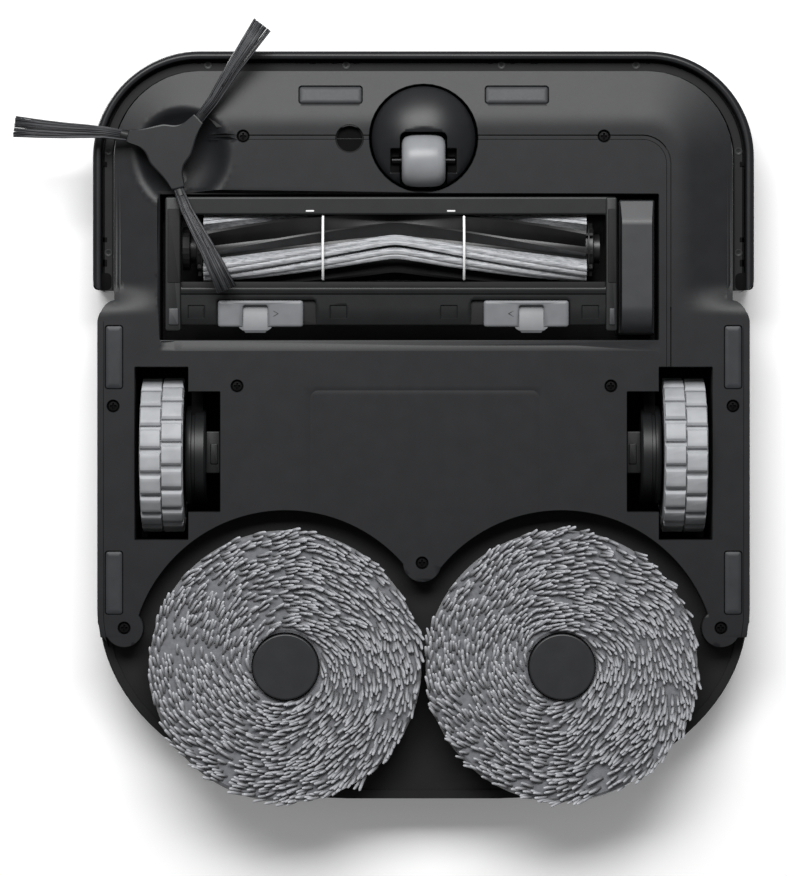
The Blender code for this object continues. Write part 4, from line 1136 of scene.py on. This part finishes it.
def upper_shell():
    behind_bumper = dict(step_half=STEP_HALF, front_half=142.0, front=-177.8, r=34.0)
    proud = dict(side=SIDE_HALF + 0.3, rear=REAR_Y + 0.3)

    def wall(inset, z):
        plan = body_outline(inset, **behind_bumper, **proud)
        return [(x, y, z if -70 < y < 83 else max(z, 26.0 + 0.1 * z)) for x, y in plan]

    def full(inset, z):
        return [(x, y, z) for x, y in body_outline(inset, step_half=150.6, **proud)]

    shell = Shape().loft([wall(0.9, 13.2), wall(0.3, 13.5), wall(0.0, 14.3), wall(0.0, 83.9),
                          full(0.5, 84.0), full(0.0, 84.6), full(0.0, 89.0), full(0.35, 91.2),
                          full(1.3, 93.0), full(2.9, 94.3), full(5.0, 94.9), full(9.0, 95.1)])
    thing = shell.make("upper_shell", SHELL, "chassis", "shell_plastic", node="top_shell", smooth=35)
    inside = [[(x, y, z) for x, y in body_outline(2.4, **behind_bumper)] for z in (5.0, 91.8)]
    bin_opening = [[(x, y, z) for x, y in rounded(-70.6, 70.6, -49.1, 23.6, 3.0)()] for z in (80.0, 100.0)]
    button_hole = [(9.5, 80.0), (9.5, 94.4), (10.2, 95.6), (10.2, 100.0)]
    for tool in (Shape().loft(inside), Shape().loft(bin_opening), Shape().turned(button_hole, 0, -92.0, 48)):
        cut_away(thing, tool)
    thing.data.shade_smooth()
    thing.data.set_sharp_from_angle(angle=math.radians(35))


# ---- camera, lights and stage ----

BACKDROP_Z = 52.0                # white sheet over the floor, open where the machine stands


def stage_and_lights():
    """Camera straight below the machine, soft lamps, and two sheets that are seen from one side only."""
    scene = bpy.context.scene
    scene.view_settings.view_transform = "Standard"
    camera = bpy.data.objects.new("camera", bpy.data.cameras.new("camera"))
    camera.data.lens = 200.0
    camera.data.sensor_width = 36.0
    longer_side = 422.7          # how much of the belly's plane the picture's longer side covers
    distance = longer_side * camera.data.lens / camera.data.sensor_width
    camera.location = ORIGIN + Vector((-14.5, -8.2, BELLY_Z - distance)) * MM
    camera.rotation_euler = (math.pi, 0.0, 0.0)
    camera.data.clip_end = 50.0
    scene.collection.objects.link(camera)
    scene.camera = camera

    floor_half = 6.0             # in metres
    spread = 12                  # the backdrop's outer edge is its opening made this many times larger
    ring = [ORIGIN + Vector((x, y, 0)) * MM for x, y in body_outline(12.0, notched=False)]
    n = len(ring)
    corners = [(sx * floor_half, sy * floor_half, 0) for sx, sy in ((-1, -1), (1, -1), (1, 1), (-1, 1))]
    frame_points = [(p.x * k, -p.y * k, 0) for k in (1, spread) for p in ring]
    frame_faces = [(i, (i + 1) % n, (i + 1) % n + n, i + n) for i in range(n)]
    for name, z, turn, glow, tone, points, faces in (
            ("floor", 0.0, 0.0, 0.0, "F4F4F4", corners, [(0, 1, 2, 3)]),
            ("backdrop", BACKDROP_Z, math.pi, 0.12, "FFFFFF", frame_points, frame_faces)):
        mesh = bpy.data.meshes.new(name)
        mesh.from_pydata(points, [], faces)
        plane = bpy.data.objects.new(name, mesh)
        plane.location = (0, 0, z * MM)
        plane.rotation_euler = (turn, 0, 0)
        material, tree, shader = surface(name + " paper, matte white", 0.9)
        shader.inputs["Base Color"].default_value = hex_linear(tone)
        shader.inputs["Emission Color"].default_value = (1, 1, 1, 1)
        shader.inputs["Emission Strength"].default_value = glow
        geometry = add(tree, "ShaderNodeNewGeometry")
        clear = add(tree, "ShaderNodeBsdfTransparent")
        mix = add(tree, "ShaderNodeMixShader", links={0: geometry.outputs["Backfacing"],
                                                       1: shader.outputs[0], 2: clear.outputs[0]})
        tree.links.new(mix.outputs[0], tree.nodes["Material Output"].inputs["Surface"])
        mesh.materials.append(material)
        scene.collection.objects.link(plane)
        plane.visible_diffuse = plane.visible_glossy = False
        plane.visible_transmission = plane.visible_shadow = False

    world = bpy.data.worlds.new("studio")
    scene.world = world
    world.use_nodes = True
    tree = world.node_tree
    tree.nodes.clear()
    path = add(tree, "ShaderNodeLightPath")
    dim = add(tree, "ShaderNodeBackground", {"Color": (1, 1, 1, 1), "Strength": 0.19})
    white = add(tree, "ShaderNodeBackground", {"Color": (1, 1, 1, 1), "Strength": 1.0})
    mix = add(tree, "ShaderNodeMixShader", links={0: path.outputs["Is Camera Ray"], 1: dim.outputs[0],
                                                  2: white.outputs[0]})
    add(tree, "ShaderNodeOutputWorld", links={"Surface": mix.outputs[0]})

    aim = ORIGIN + Vector((0, -10, 20)) * MM
    lamps = (("key below", (-0.1, -1.0, -1.42), (1.5, 0.75), 39.5),
             ("key above", (-1.1, -1.2, 1.6), (1.2, 1.2), 34.0),
             ("rim above", (1.2, 1.1, 1.5), (1.2, 1.0), 26.0))
    for name, place, size, power in lamps:
        lamp = bpy.data.lights.new(name, "AREA")
        lamp.shape = "RECTANGLE"
        lamp.size, lamp.size_y = size
        lamp.energy = power
        thing = bpy.data.objects.new(name, lamp)
        thing.location = place
        thing.rotation_euler = (aim - Vector(place)).to_track_quat("-Z", "Y").to_euler()
        thing.visible_camera = False
        scene.collection.objects.link(thing)


def dress_cad():
    """Gives every CAD node the finish of its real material, except that the tray and the dark plastic parts
    take the darker plastic, painted shade inside the body.
    """
    looks = dict(belly_plastic=BELLY, shell_plastic=SHELL, dark_plastic=DARK_ABS_AND_SHADE, grey_plastic=GREY,
                 smoked_window=WINDOW, tyre_rubber=TYRE, fin_rubber=FIN, nylon_bristle=STRIP, steel_pin=WIRE,
                 screw_steel=SCREW, pad_fabric=FELT, circuit_board=BOARD)
    for node, thing in frame["nodes"].items():
        # the tray is the housing's plastic, painted darker as shade inside the body
        material = DARK_ABS_AND_SHADE if node == "chassis_tray" else looks[SLOTS[node]]
        thing.data.materials.clear()
        thing.data.materials.append(material)


stage_and_lights()
dress_cad()
for build in (underside, bumper, drive_wheels, roller, guard, latches, gear_cover, caster, side_brush,
              belly_details, mops, upper_shell):
    build()
